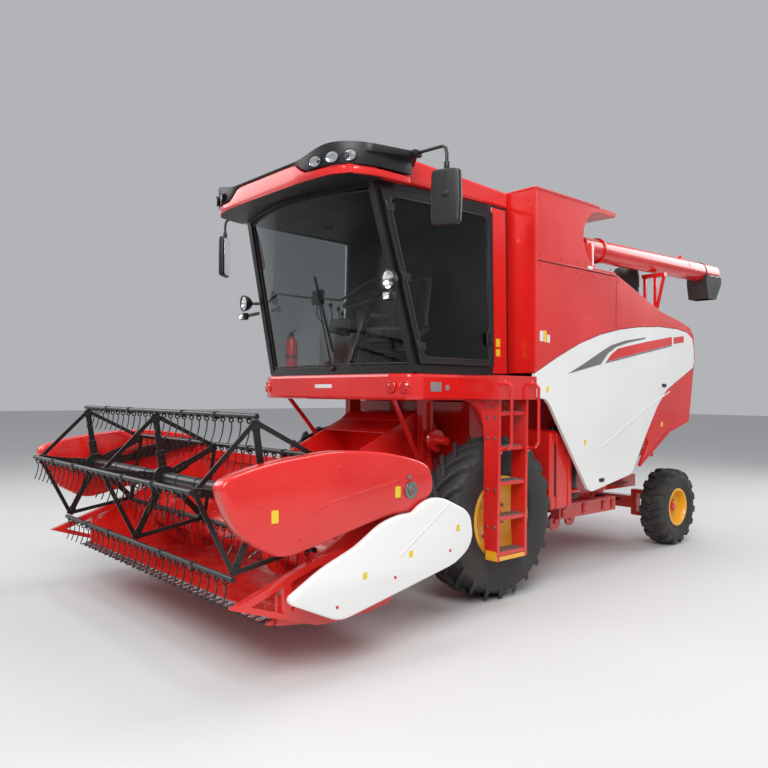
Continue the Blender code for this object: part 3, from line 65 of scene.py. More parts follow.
AXLE_Y = middle_y("front_tyre_left")
BODY_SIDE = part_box("side_panel_left")[1].x
COVER_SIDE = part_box("reel_drive_cover_left")[1].x
SHIELD_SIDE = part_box("crop_shield_left")[1].x
SIDES = ((1, "left"), (-1, "right"))
MATERIALS = {}


# ---------------------------------------------------------------- what a user may change
class HarvesterSizes(bpy.types.PropertyGroup):
    """Counts and sizes of the repeated small parts."""

    front_lugs: bpy.props.IntProperty(name="Front Tyre Lugs",
                                      description="Tread bars on each half of a drive tyre", default=22,
                                      min=8, max=40)
    rear_lugs: bpy.props.IntProperty(name="Rear Tyre Lugs",
                                     description="Tread blocks on each half of a steer tyre", default=16,
                                     min=8, max=40)
    tines: bpy.props.IntProperty(
        name="Tines on a Bar", description="Spring tines on each bar of the reel", default=26, min=4, max=40)
    tine_length: bpy.props.FloatProperty(
        name="Tine Length", description="From a tine bar down to the tine's tip", default=0.172,
        min=0.08, max=0.175, unit="LENGTH")
    guards: bpy.props.IntProperty(
        name="Knife Guards", description="Pointed guards along the knife", default=38, min=10, max=60)
    flight_radius: bpy.props.FloatProperty(
        name="Flight Radius", description="Outside of the table auger's flights", default=0.212,
        min=0.15, max=0.22, unit="LENGTH")


class HarvesterColours(bpy.types.PropertyGroup):
    """Paints, plastics and glass."""

    red: bpy.props.FloatVectorProperty(
        name="Red Paint", description="Body and header", subtype="COLOR", default=(0.74, 0.013, 0.010))
    white: bpy.props.FloatVectorProperty(
        name="White Paint", description="Side panels and crop shields", subtype="COLOR",
        default=(0.86, 0.86, 0.84))
    rim: bpy.props.FloatVectorProperty(
        name="Rim Paint", description="Wheel rims", subtype="COLOR", default=(0.92, 0.45, 0.010))
    stripe: bpy.props.FloatVectorProperty(
        name="Stripe Grey", description="Grey stripe on the side panels", subtype="COLOR",
        default=(0.15, 0.155, 0.155))
    glass: bpy.props.FloatVectorProperty(
        name="Windscreen Tint", description="Glass of the windscreen", subtype="COLOR",
        default=(0.58, 0.61, 0.61))
    dark_glass: bpy.props.FloatVectorProperty(
        name="Side Glass Tint", description="Glass of the door and the right side", subtype="COLOR",
        default=(0.31, 0.335, 0.335))


class HarvesterStage(bpy.types.PropertyGroup):
    """Camera and lights."""

    camera_place: bpy.props.FloatVectorProperty(
        name="Camera Place", description="From the front axle", subtype="XYZ", unit="LENGTH",
        default=(5.025, -4.699, 1.673))
    camera_turn: bpy.props.FloatProperty(
        name="Camera Turn", description="About Z, from looking along +Y towards -X", subtype="ANGLE",
        default=radians(48.358))
    camera_lift: bpy.props.FloatProperty(
        name="Camera Lift", description="Above the horizon", subtype="ANGLE", default=radians(0.744))
    camera_roll: bpy.props.FloatProperty(
        name="Camera Roll", description="About its own line of sight", subtype="ANGLE",
        default=radians(0.431))
    lens: bpy.props.FloatProperty(
        name="Lens", description="Focal length on a 36 mm sensor", unit="CAMERA", default=34.08)
    key_power: bpy.props.FloatProperty(
        name="Key Light", description="Large soft light on the left front", unit="POWER", default=1050.0)
    sky: bpy.props.FloatProperty(
        name="Room Light", description="Strength of the even surrounding light", default=0.48, min=0.0)


SETTINGS = (("harvester_sizes", HarvesterSizes), ("harvester_colours", HarvesterColours),
            ("harvester_stage", HarvesterStage))


# ---------------------------------------------------------------- shapes
def merge_in(part, piece):
    """Adds one shape to the part that is being built."""
    bmesh.ops.recalc_face_normals(piece, faces=piece.faces)
    mesh = bpy.data.meshes.new("shape")
    piece.to_mesh(mesh)
    piece.free()
    part.from_mesh(mesh)
    bpy.data.meshes.remove(mesh)


def soften(piece, width, segments=2, edges=None):
    bmesh.ops.bevel(piece, geom=edges or piece.edges[:], offset=width, offset_type="OFFSET",
                    segments=segments, profile=0.5, affect="EDGES", material=-1, clamp_overlap=True)


def sharp_edges(piece, angle=radians(30)):
    return [edge for edge in piece.edges if len(edge.link_faces) == 2 and edge.calc_face_angle() > angle]


def box(part, low, high, round_off=0.0, segments=2):
    first, last = Vector(low), Vector(high)
    cube = bmesh.new()
    bmesh.ops.create_cube(cube, size=1.0)
    bmesh.ops.scale(cube, vec=last - first, verts=cube.verts)
    bmesh.ops.translate(cube, vec=(first + last) / 2, verts=cube.verts)
    if round_off:
        soften(cube, round_off, segments)
    merge_in(part, cube)


def bar(part, start, end, width, height, upright=(0, 0, 1), round_off=0.0):
    """Flat bar from start to end; height is measured the upright way."""
    first, last = Vector(start), Vector(end)
    along = (last - first).normalized()
    across = along.cross(Vector(upright)).normalized()
    turn = Matrix((along, across, across.cross(along))).transposed().to_4x4()
    cube = bmesh.new()
    bmesh.ops.create_cube(cube, size=1.0)
    bmesh.ops.scale(cube, vec=((last - first).length, width, height), verts=cube.verts)
    bmesh.ops.transform(cube, matrix=Matrix.Translation((first + last) / 2) @ turn, verts=cube.verts)
    if round_off:
        soften(cube, round_off, 1)
    merge_in(part, cube)


def rod(part, start, end, radius, steps=16, end_radius=None, round_off=0.0):
    first, last = Vector(start), Vector(end)
    cone = bmesh.new()
    bmesh.ops.create_cone(cone, cap_ends=True, segments=steps, radius1=radius,
                          radius2=radius if end_radius is None else end_radius, depth=(last - first).length)
    if round_off:
        rims = [edge for edge in cone.edges if any(len(face.verts) > 4 for face in edge.link_faces)]
        soften(cone, round_off, 2, rims)
    turn = Vector((0, 0, 1)).rotation_difference(last - first).to_matrix().to_4x4()
    bmesh.ops.transform(cone, matrix=Matrix.Translation((first + last) / 2) @ turn, verts=cone.verts)
    merge_in(part, cone)


def ball(part, centre, radius, stretch=(1, 1, 1)):
    sphere = bmesh.new()
    bmesh.ops.create_uvsphere(sphere, u_segments=20, v_segments=12, radius=radius)
    bmesh.ops.scale(sphere, vec=stretch, verts=sphere.verts)
    bmesh.ops.translate(sphere, vec=centre, verts=sphere.verts)
    merge_in(part, sphere)


PLANES = {
    "X": Matrix(((0, 0, 1, 0), (1, 0, 0, 0), (0, 1, 0, 0), (0, 0, 0, 1))),
    "Y": Matrix(((1, 0, 0, 0), (0, 0, -1, 0), (0, 1, 0, 0), (0, 0, 0, 1))),
    "Z": Matrix.Identity(4),
}


def sheet(part, outline, axis, low, high, round_off=0.0, segments=2):
    """Outline raised into a plate: (y, z) points along X, (x, z) along Y, (x, y) along Z."""
    plate = bmesh.new()
    start = -high if axis == "Y" else low
    corners = [plate.verts.new((first, second, start)) for first, second in outline]
    face = plate.faces.new(corners)
    grown = bmesh.ops.extrude_face_region(plate, geom=[face])["geom"]
    moved = [item for item in grown if isinstance(item, bmesh.types.BMVert)]
    bmesh.ops.translate(plate, vec=(0, 0, high - low), verts=moved)
    bmesh.ops.transform(plate, matrix=PLANES[axis], verts=plate.verts)
    bmesh.ops.recalc_face_normals(plate, faces=plate.faces)
    if round_off:
        soften(plate, round_off, segments, sharp_edges(plate))
    merge_in(part, plate)


def turned(part, profile, centre, way=(1, 0, 0), steps=48, closed=False):
    """Profile of (radius, distance along the axis) turned a full circle."""
    shape = bmesh.new()
    points = [shape.verts.new((radius, 0, along)) for radius, along in profile]
    lines = [shape.edges.new(pair) for pair in zip(points, points[1:])]
    if closed:
        lines.append(shape.edges.new((points[-1], points[0])))
    bmesh.ops.spin(shape, geom=points + lines, cent=(0, 0, 0), axis=(0, 0, 1), angle=2 * pi, steps=steps,
                   use_merge=True)
    bmesh.ops.remove_doubles(shape, verts=shape.verts, dist=0.00001)
    turn = Vector((0, 0, 1)).rotation_difference(Vector(way)).to_matrix().to_4x4()
    bmesh.ops.transform(shape, matrix=Matrix.Translation(Vector(centre)) @ turn, verts=shape.verts)
    merge_in(part, shape)


def pipe(part, points, radius, steps=8, closed=False):
    """Round bar or hose along points."""
    line = [Vector(point) for point in points]
    count = len(line)
    shape = bmesh.new()
    rings = []
    turn = None
    before = None
    for index, place in enumerate(line):
        back = line[index - 1] if index or closed else place
        ahead = line[(index + 1) % count] if index < count - 1 or closed else place
        way = (ahead - back).normalized()
        if turn is None:
            turn = Vector((0, 0, 1)).rotation_difference(way)
        else:
            turn = before.rotation_difference(way) @ turn
        before = way
        ring = bmesh.ops.create_circle(shape, cap_ends=False, segments=steps, radius=radius,
                                       matrix=Matrix.Translation(place) @ turn.to_matrix().to_4x4())["verts"]
        rings.append([edge for edge in {edge for vert in ring for edge in vert.link_edges}])
    pairs = list(zip(rings, rings[1:])) + ([(rings[-1], rings[0])] if closed else [])
    for first, second in pairs:
        bmesh.ops.bridge_loops(shape, edges=first + second)
    if not closed:
        bmesh.ops.holes_fill(shape, edges=rings[0] + rings[-1], sides=steps)
    merge_in(part, shape)


def arc(centre, radius, start, end, steps):
    turns = [start + (end - start) * step / steps for step in range(steps + 1)]
    return [(centre[0] + radius * cos(turn), centre[1] + radius * sin(turn)) for turn in turns]


def rounded(points, radius, steps=3):
    """Closed outline with each corner rounded."""
    result = []
    for index, corner in enumerate(points):
        here = Vector(corner)
        back = Vector(points[index - 1]) - here
        ahead = Vector(points[(index + 1) % len(points)]) - here
        reach = min(radius, 0.45 * back.length, 0.45 * ahead.length)
        first, last = here + back.normalized() * reach, here + ahead.normalized() * reach
        for step in range(steps + 1):
            part = step / steps
            result.append(tuple((1 - part) ** 2 * first + 2 * part * (1 - part) * here + part ** 2 * last))
    return result


def bolt(part, place, way, size=0.010):
    """Hexagon head on a washer, standing on a surface at place."""
    foot, out = Vector(place), Vector(way).normalized()
    rod(part, foot - out * 0.0005, foot + out * 0.15 * size, 1.35 * size, 14)
    rod(part, foot, foot + out * 0.75 * size, size, 6)


def stamp(part, template, places):
    """Adds a copy of a finished mesh at each of the places."""
    for place in places:
        copy = template.copy()
        copy.transform(place)
        part.from_mesh(copy)
        bpy.data.meshes.remove(copy)


def as_mesh(piece):
    bmesh.ops.recalc_face_normals(piece, faces=piece.faces)
    mesh = bpy.data.meshes.new("template")
    piece.to_mesh(mesh)
    piece.free()
    return mesh


def show(part, name, material, body="chassis", stands_for=(), sharp=35):
    """Makes the piece an object that rides on its body."""
    bmesh.ops.translate(part, vec=(0, AXLE_Y, 0), verts=part.verts)
    mesh = bpy.data.meshes.new(name)
    part.to_mesh(mesh)
    part.free()
    mesh.materials.append(MATERIALS[material])
    mesh.shade_smooth()
    mesh.set_sharp_from_angle(angle=radians(sharp))
    piece = bpy.data.objects.new(name, mesh)
    bpy.context.scene.collection.objects.link(piece)
    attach(piece, body)
    if stands_for:
        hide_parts(*stands_for)
    return piece


# ---------------------------------------------------------------- shader groups
def add(tree, kind, **settings):
    made = tree.nodes.new(kind)
    for name, value in settings.items():
        setattr(made, name, value)
    return made


def maths(tree, operation, first, second):
    made = add(tree, "ShaderNodeMath", operation=operation)
    for socket, value in zip(made.inputs, (first, second)):
        if isinstance(value, (int, float)):
            socket.default_value = value
        else:
            tree.links.new(value, socket)
    return made.outputs[0]


def ramp(tree, value, low, high, clamp_low=0.0, clamp_high=1.0):
    made = add(tree, "ShaderNodeMapRange", clamp=True)
    tree.links.new(value, made.inputs["Value"])
    for name, number in (("From Min", low), ("From Max", high), ("To Min", clamp_low),
                         ("To Max", clamp_high)):
        if isinstance(number, (int, float)):
            made.inputs[name].default_value = number
        else:
            tree.links.new(number, made.inputs[name])
    return made.outputs["Result"]


def speckle(tree, scale, detail=3.0, rough=0.55, stretch=None):
    """Noise on the piece's own coordinates."""
    place = add(tree, "ShaderNodeTexCoord").outputs["Object"]
    if stretch:
        mapping = add(tree, "ShaderNodeMapping")
        mapping.inputs["Scale"].default_value = stretch
        tree.links.new(place, mapping.inputs["Vector"])
        place = mapping.outputs["Vector"]
    made = add(tree, "ShaderNodeTexNoise")
    tree.links.new(place, made.inputs["Vector"])
    if isinstance(scale, (int, float)):
        made.inputs["Scale"].default_value = scale
    else:
        tree.links.new(scale, made.inputs["Scale"])
    made.inputs["Detail"].default_value = detail
    made.inputs["Roughness"].default_value = rough
    return made.outputs["Fac"]


def new_group(name, takes, gives):
    """Empty shader group; takes and gives list (name, socket type, default)."""
    group = bpy.data.node_groups.new(name, "ShaderNodeTree")
    for label, kind, value in takes:
        socket = group.interface.new_socket(name=label, in_out="INPUT", socket_type=kind)
        socket.default_value = value
    for label, kind in gives:
        group.interface.new_socket(name=label, in_out="OUTPUT", socket_type=kind)
    return group, add(group, "NodeGroupInput"), add(group, "NodeGroupOutput")


def edge_group():
    """Rounds sharp edges in shading and marks where handling wears them."""
    group, takes, gives = new_group("edges", [("Radius", "NodeSocketFloat", 0.004)],
                                    [("Normal", "NodeSocketVector"), ("Wear", "NodeSocketFloat")])
    rounding = add(group, "ShaderNodeBevel", samples=4)
    group.links.new(takes.outputs["Radius"], rounding.inputs["Radius"])
    flat = add(group, "ShaderNodeNewGeometry")
    turn = add(group, "ShaderNodeVectorMath", operation="DOT_PRODUCT")
    group.links.new(rounding.outputs["Normal"], turn.inputs[0])
    group.links.new(flat.outputs["Normal"], turn.inputs[1])
    edge = ramp(group, turn.outputs["Value"], 0.985, 0.80)
    patchy = ramp(group, speckle(group, 34.0, 4.0), 0.52, 0.66)
    group.links.new(rounding.outputs["Normal"], gives.inputs["Normal"])
    group.links.new(maths(group, "MULTIPLY", edge, patchy), gives.inputs["Wear"])
    return group


def dust_group():
    """Field dust that thickens towards the ground and gathers in patches."""
    group, takes, gives = new_group(
        "field_dust", [("Clear Above", "NodeSocketFloat", 1.6), ("Amount", "NodeSocketFloat", 0.2)],
        [("Mask", "NodeSocketFloat")])
    place = add(group, "ShaderNodeTexCoord")
    split = add(group, "ShaderNodeSeparateXYZ")
    group.links.new(place.outputs["Object"], split.inputs[0])
    low = ramp(group, split.outputs["Z"], takes.outputs["Clear Above"], 0.0, 0.0, 1.0)
    patchy = ramp(group, speckle(group, 3.2, 6.0, 0.65), 0.35, 0.75)
    lot = maths(group, "MULTIPLY", maths(group, "MULTIPLY", low, patchy), takes.outputs["Amount"])
    group.links.new(lot, gives.inputs["Mask"])
    return group


def grain_group():
    """Fine surface height and a slow variation in shade."""
    group, takes, gives = new_group("grain", [("Scale", "NodeSocketFloat", 300.0)],
                                    [("Height", "NodeSocketFloat"), ("Shade", "NodeSocketFloat")])
    group.links.new(speckle(group, takes.outputs["Scale"], 2.0), gives.inputs["Height"])
    group.links.new(speckle(group, 1.6, 4.0), gives.inputs["Shade"])
    return group


def weave_group():
    """Crossed threads of a woven seat cloth."""
    group, takes, gives = new_group("weave", [("Threads", "NodeSocketFloat", 260.0)],
                                    [("Height", "NodeSocketFloat"), ("Shade", "NodeSocketFloat")])
    place = add(group, "ShaderNodeTexCoord")
    waves = []
    for direction in ("X", "Y", "Z"):
        wave = add(group, "ShaderNodeTexWave", wave_type="BANDS", bands_direction=direction)
        wave.inputs["Distortion"].default_value = 0.6
        group.links.new(place.outputs["Object"], wave.inputs["Vector"])
        group.links.new(takes.outputs["Threads"], wave.inputs["Scale"])
        waves.append(wave.outputs["Fac"])
    threads = maths(group, "ADD", maths(group, "MULTIPLY", waves[0], waves[1]),
                    maths(group, "MULTIPLY", waves[0], waves[2]))
    group.links.new(threads, gives.inputs["Height"])
    group.links.new(maths(group, "MULTIPLY", threads, speckle(group, 14.0)), gives.inputs["Shade"])
    return group


# ---------------------------------------------------------------- materials
DUST = (0.30, 0.24, 0.16, 1)


def mix_colours(tree, share, first, second):
    made = add(tree, "ShaderNodeMix", data_type="RGBA")
    for socket, value in ((made.inputs[0], share), (made.inputs[6], first), (made.inputs[7], second)):
        if isinstance(value, bpy.types.NodeSocket):
            tree.links.new(value, socket)
        else:
            socket.default_value = value
    return made.outputs[2]


def surface(name, colour, rough, *, metallic=0.0, coat=0.0, radius=0.004, wear=None, wear_share=0.0, dust=0.2,
            clear_above=1.6, scale=300.0, bump=0.02, shade=0.06, threads=0.0, sheen=0.0):
    """Painted, moulded, bare or woven surface with worn edges, fine grain and dust."""
    material = bpy.data.materials.new(name)
    material.use_nodes = True
    tree = material.node_tree
    shader = tree.nodes["Principled BSDF"]
    groups = bpy.data.node_groups
    grain = add(tree, "ShaderNodeGroup", node_tree=groups["weave" if threads else "grain"])
    grain.inputs[0].default_value = threads or scale
    base = (*colour, 1)
    darker = (*[channel * (1 - shade * 2.2) for channel in colour], 1)
    tone = mix_colours(tree, ramp(tree, grain.outputs["Shade"], 0.35, 0.65), darker, base)
    normal_from = None
    if radius:
        edges = add(tree, "ShaderNodeGroup", node_tree=groups["edges"])
        edges.inputs["Radius"].default_value = radius
        normal_from = edges.outputs["Normal"]
        if wear_share:
            share = maths(tree, "MULTIPLY", edges.outputs["Wear"], wear_share)
            tone = mix_colours(tree, share, tone, (*wear, 1))
    rough_from = ramp(tree, grain.outputs["Shade"], 0.3, 0.7, max(0.02, rough - 0.05), rough + 0.05)
    if dust:
        dusty = add(tree, "ShaderNodeGroup", node_tree=groups["field_dust"])
        dusty.inputs["Amount"].default_value = dust
        dusty.inputs["Clear Above"].default_value = clear_above
        tone = mix_colours(tree, dusty.outputs["Mask"], tone, DUST)
        rough_from = maths(tree, "ADD", rough_from, maths(tree, "MULTIPLY", dusty.outputs["Mask"], 0.5))
    relief = add(tree, "ShaderNodeBump")
    relief.inputs["Strength"].default_value = bump
    relief.inputs["Distance"].default_value = 0.01
    tree.links.new(grain.outputs["Height"], relief.inputs["Height"])
    if normal_from:
        tree.links.new(normal_from, relief.inputs["Normal"])
    tree.links.new(relief.outputs["Normal"], shader.inputs["Normal"])
    tree.links.new(tone, shader.inputs["Base Color"])
    tree.links.new(rough_from, shader.inputs["Roughness"])
    shader.inputs["Metallic"].default_value = metallic
    shader.inputs["Coat Weight"].default_value = coat
    shader.inputs["Coat Roughness"].default_value = 0.06
    shader.inputs["Sheen Weight"].default_value = sheen
    MATERIALS[name] = material


def glazing(name, tint, roughness=0.02):
    """Tinted pane that lets light through to the cab."""
    material = bpy.data.materials.new(name)
    material.use_nodes = True
    tree = material.node_tree
    shader = tree.nodes["Principled BSDF"]
    shader.inputs["Base Color"].default_value = (*tint, 1)
    shader.inputs["Roughness"].default_value = roughness
    shader.inputs["IOR"].default_value = 1.30
    shader.inputs["Transmission Weight"].default_value = 1.0
    smudge = add(tree, "ShaderNodeBump")
    smudge.inputs["Strength"].default_value = 0.01
    tree.links.new(speckle(tree, 2.4, 2.0), smudge.inputs["Height"])
    tree.links.new(smudge.outputs["Normal"], shader.inputs["Normal"])
    clear = add(tree, "ShaderNodeBsdfTransparent")
    clear.inputs["Color"].default_value = (*[channel ** 0.5 for channel in tint], 1)
    path = add(tree, "ShaderNodeLightPath")
    choice = add(tree, "ShaderNodeMixShader")
    tree.links.new(path.outputs["Is Shadow Ray"], choice.inputs[0])
    tree.links.new(shader.outputs[0], choice.inputs[1])
    tree.links.new(clear.outputs[0], choice.inputs[2])
    tree.links.new(choice.outputs[0], tree.nodes["Material Output"].inputs["Surface"])
    MATERIALS[name] = material


class COMBINE_OT_materials(bpy.types.Operator):
    """Makes the paints, rubbers, plastics, metals, cloth and glass"""

    bl_idname = "combine.materials"
    bl_label = "Materials"

    def execute(self, context):
        colours = context.scene.harvester_colours
        edge_group()
        dust_group()
        grain_group()
        weave_group()
        red, white, rim = tuple(colours.red), tuple(colours.white), tuple(colours.rim)
        grey = (0.22, 0.21, 0.20)
        surface("red_paint", red, 0.24, coat=0.6, wear=(0.35, 0.05, 0.04), wear_share=0.35, dust=0.16)
        surface("white_paint", white, 0.22, coat=0.6, wear=(0.55, 0.55, 0.53), wear_share=0.35, dust=0.10,
                shade=0.02)
        surface("black_paint", (0.007, 0.007, 0.0075), 0.36, coat=0.10, wear=grey, wear_share=0.40, dust=0.06,
                radius=0.003)
        surface("rim_paint", rim, 0.30, coat=0.4, wear=(0.45, 0.22, 0.05), wear_share=0.4, dust=0.22,
                clear_above=1.3)
        surface("grey_casting", (0.085, 0.085, 0.09), 0.55, wear=grey, wear_share=0.5, dust=0.45, bump=0.12,
                scale=90.0)
        surface("tyre_rubber", (0.026, 0.027, 0.028), 0.66, radius=0.006, wear=(0.12, 0.115, 0.10),
                wear_share=0.35, dust=0.16, clear_above=1.3, bump=0.10, scale=180.0, shade=0.12)
        surface("moulded_black", (0.010, 0.010, 0.0105), 0.42, radius=0.003, wear=(0.08, 0.08, 0.08),
                wear_share=0.4, dust=0.05, bump=0.10, scale=520.0)
        surface("trim_grey", (0.26, 0.265, 0.27), 0.50, radius=0.003, wear=grey, wear_share=0.3, dust=0.0,
                bump=0.08, scale=480.0)
        surface("soft_rubber", (0.020, 0.020, 0.021), 0.62, radius=0.004, wear=(0.09, 0.085, 0.08),
                wear_share=0.4, dust=0.12, clear_above=4.0, bump=0.08, scale=260.0)
        surface("bright_steel", (0.58, 0.58, 0.60), 0.26, metallic=1.0, radius=0.002, wear=(0.8, 0.8, 0.8),
                wear_share=0.3, dust=0.05, bump=0.02)
        surface("dull_steel", (0.30, 0.295, 0.285), 0.46, metallic=1.0, radius=0.003, wear=(0.6, 0.6, 0.6),
                wear_share=0.5, dust=0.25, bump=0.08, scale=140.0)
        surface("seat_cloth", (0.085, 0.087, 0.092), 0.90, radius=0.0, dust=0.0, threads=240.0, bump=0.35,
                shade=0.20, sheen=0.25)
        surface("stripe_grey", tuple(colours.stripe), 0.35, coat=0.2, radius=0.0, dust=0.05, bump=0.01)
        # Painted shade: near-black colour for thin strips laid where the gaps between panels fall into
        # shadow.
        surface("seam_shadow", (0.010, 0.008, 0.008), 0.80, radius=0.0, dust=0.0)
        surface("label_yellow", (0.85, 0.62, 0.03), 0.42, radius=0.0, dust=0.08)
        surface("label_white", (0.78, 0.78, 0.76), 0.42, radius=0.0, dust=0.08)
        surface("lamp_red", (0.55, 0.006, 0.005), 0.12, radius=0.0, dust=0.02, coat=0.8, bump=0.06,
                scale=120.0)
        surface("lamp_amber", (0.85, 0.20, 0.01), 0.12, radius=0.0, dust=0.02, coat=0.8, bump=0.06,
                scale=120.0)
        surface("reflector", (0.90, 0.90, 0.92), 0.08, metallic=1.0, radius=0.0, dust=0.0, bump=0.25,
                scale=60.0)
        surface("mirror_silver", (0.88, 0.89, 0.90), 0.03, metallic=1.0, radius=0.0, dust=0.0, bump=0.0)
        surface("floor_mat", (0.022, 0.022, 0.023), 0.75, radius=0.0, dust=0.12, clear_above=3.0, bump=0.3,
                scale=90.0)
        glazing("tinted_glass", tuple(colours.glass))
        glazing("dark_glass", tuple(colours.dark_glass))
        glazing("lamp_glass", (0.92, 0.94, 0.95), 0.04)
        return {"FINISHED"}


CAD_FINISHES = {
    "red_paint": ("chassis_frame", "steer_axle", "thresher_body", "fuel_tank", "grain_tank", "engine_hood",
                  "straw_deflector", "cab_platform", "cab_roof", "access_ladder", "feeder_house",
                  "header_trough", "crop_divider_left", "crop_divider_right", "rear_knuckle_left",
                  "rear_knuckle_right"),
    "white_paint": ("side_panel_left", "side_panel_right"),
    "black_paint": ("cab_frame", "cab_door", "reel_arm_left", "reel_arm_right", "reel_frame",
                    "lift_barrels"),
    "grey_casting": ("engine", "drive_axle"),
    "dark_glass": ("side_window_right", "cab_door_glass"),
    "bright_steel": ("lift_rods",),
    "soft_rubber": ("unloading_spout",),
}


class COMBINE_OT_cad_finishes(bpy.types.Operator):
    """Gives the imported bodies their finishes"""

    bl_idname = "combine.cad_finishes"
    bl_label = "Body Finishes"

    def execute(self, context):
        for material, names in CAD_FINISHES.items():
            for name in names:
                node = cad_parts[name]
                if not node.material_slots:
                    node.data.materials.append(MATERIALS[material])
                for slot in node.material_slots:
                    slot.material = MATERIALS[material]
        return {"FINISHED"}


# ---------------------------------------------------------------- wheels
def crown_fall(across, half_width):
    """How far the tread drops from its middle towards the shoulder."""
    return 0.010 * (across / half_width) ** 2 + 0.026 * max(0.0, abs(across) / half_width - 0.75) ** 2 * 16


def lug_template(radius, half_width, height, sweep, root, top, side):
    """One tread bar that runs from just past the middle down over the shoulder."""
    shape = bmesh.new()
    bmesh.ops.create_cube(shape, size=1.0)
    lengthwise = [edge for edge in shape.edges
                  if abs(edge.verts[0].co.x - edge.verts[1].co.x) > 0.5]
    bmesh.ops.subdivide_edges(shape, edges=lengthwise, cuts=6, use_grid_fill=True)
    for vert in shape.verts:
        along, across, up = vert.co.x + 0.5, vert.co.y, vert.co.z + 0.5
        x = -0.016 + (half_width + 0.010) * along
        fall = crown_fall(x, half_width)
        inner = radius - height - 0.012 - fall * 1.5
        outer = radius - fall * (1.0 if along < 0.9 else 1.25)
        reach = inner + (outer - inner) * up
        width = root + (top - root) * up
        angle = sweep * along ** 0.85 + across * width / radius
        vert.co = (side * x, reach * sin(angle), reach * cos(angle))
    return as_mesh(shape)


def tyre(name, body, node, centre, radius, half, bead, rim_half, lugs, height, sweep, root, top):
    part = bmesh.new()
    crown = radius - height
    side = [(bead, rim_half), (bead + 0.010, rim_half + 0.003), (bead + 0.022, rim_half + 0.016),
            (bead + 0.030, rim_half + 0.014), (bead + 0.040, half - 0.020), (bead + 0.075, half - 0.008),
            ((bead + crown) / 2 + 0.02, half - 0.0005), (crown - 0.062, half - 0.006),
            (crown - 0.036, half - 0.016), (crown - 0.014, half - 0.045), (crown - 0.006, half * 0.50),
            (crown - 0.001, 0.0)]
    profile = [(r, -a) for r, a in side] + side[-2::-1]
    turned(part, profile, (0, 0, 0), (1, 0, 0), 96, closed=True)
    pitch = 2 * pi / lugs
    for way, offset in ((1, 0.0), (-1, 0.5)):
        template = lug_template(radius, half - 0.004, height, sweep, root, top, way)
        stamp(part, template, [Matrix.Rotation(-(index + offset) * pitch, 4, "X") for index in range(lugs)])
        bpy.data.meshes.remove(template)
    bmesh.ops.translate(part, vec=centre, verts=part.verts)
    show(part, name, "tyre_rubber", body, (node,), sharp=28)


def rim(name, body, node, centre, side, profile, nuts, circle, nut_size, hub_radius, hub_out, face):
    part = bmesh.new()
    turned(part, profile, (0, 0, 0), (side, 0, 0), 72)
    middle = Vector(centre)
    bmesh.ops.translate(part, vec=middle, verts=part.verts)
    show(part, name, "rim_paint", body, (node,), sharp=32)
    hub = bmesh.new()
    turned(hub, [(0, hub_out), (hub_radius * 0.55, hub_out), (hub_radius * 0.70, hub_out - 0.008),
                 (hub_radius * 0.74, hub_out * 0.55), (hub_radius, hub_out * 0.42),
                 (hub_radius, face - 0.001), (0, face - 0.001)], middle, (side, 0, 0), 40)
    for index in range(6):
        angle = pi * index / 3
        bolt(hub, middle + Vector((side * hub_out * 0.44, 0.86 * hub_radius * cos(angle),
                                   0.86 * hub_radius * sin(angle))), (side, 0, 0), 0.007)
    show(hub, name + "_hub", "red_paint", body)
    studs = bmesh.new()
    for index in range(nuts):
        angle = 2 * pi * (index + 0.5) / nuts
        foot = middle + Vector((side * face, circle * cos(angle), circle * sin(angle)))
        rod(studs, foot, foot + Vector((side * nut_size * 1.0, 0, 0)), nut_size, 6, round_off=0.001)
        rod(studs, foot, foot + Vector((side * nut_size * 1.7, 0, 0)), nut_size * 0.5, 12)
    rod(studs, middle + Vector((side * face, 0, -circle * 1.45)), middle
        + Vector((side * (face + 0.045), 0, -circle * 1.50)), 0.005, 10)
    show(studs, name + "_nuts", "dull_steel", body)


FRONT_RIM = [(0, 0.030), (0.100, 0.030), (0.112, 0.014), (0.150, 0.006), (0.222, 0.004), (0.236, 0.010),
             (0.262, 0.030), (0.284, 0.052), (0.296, 0.090), (0.306, 0.140), (0.310, 0.1485), (0.338, 0.1495),
             (0.342, 0.146), (0.342, 0.1355), (0.330, 0.1353), (0.326, 0.090), (0.310, 0.070),
             (0.310, -0.070), (0.326, -0.090), (0.330, -0.1353), (0.342, -0.1355), (0.342, -0.146),
             (0.338, -0.1495), (0.308, -0.149), (0.300, -0.100), (0.286, -0.030), (0.230, -0.034),
             (0, -0.034)]
REAR_RIM = [(0, 0.024), (0.066, 0.024), (0.074, 0.014), (0.092, 0.010), (0.138, 0.010), (0.150, 0.016),
            (0.166, 0.034), (0.172, 0.070), (0.182, 0.118), (0.186, 0.1245), (0.207, 0.1252), (0.210, 0.122),
            (0.210, 0.1155), (0.200, 0.1153), (0.197, 0.080), (0.186, 0.062), (0.186, -0.062),
            (0.197, -0.080), (0.200, -0.1153), (0.210, -0.1155), (0.210, -0.122), (0.207, -0.1252),
            (0.182, -0.125), (0.176, -0.080), (0.166, -0.010), (0.140, -0.018), (0, -0.018)]


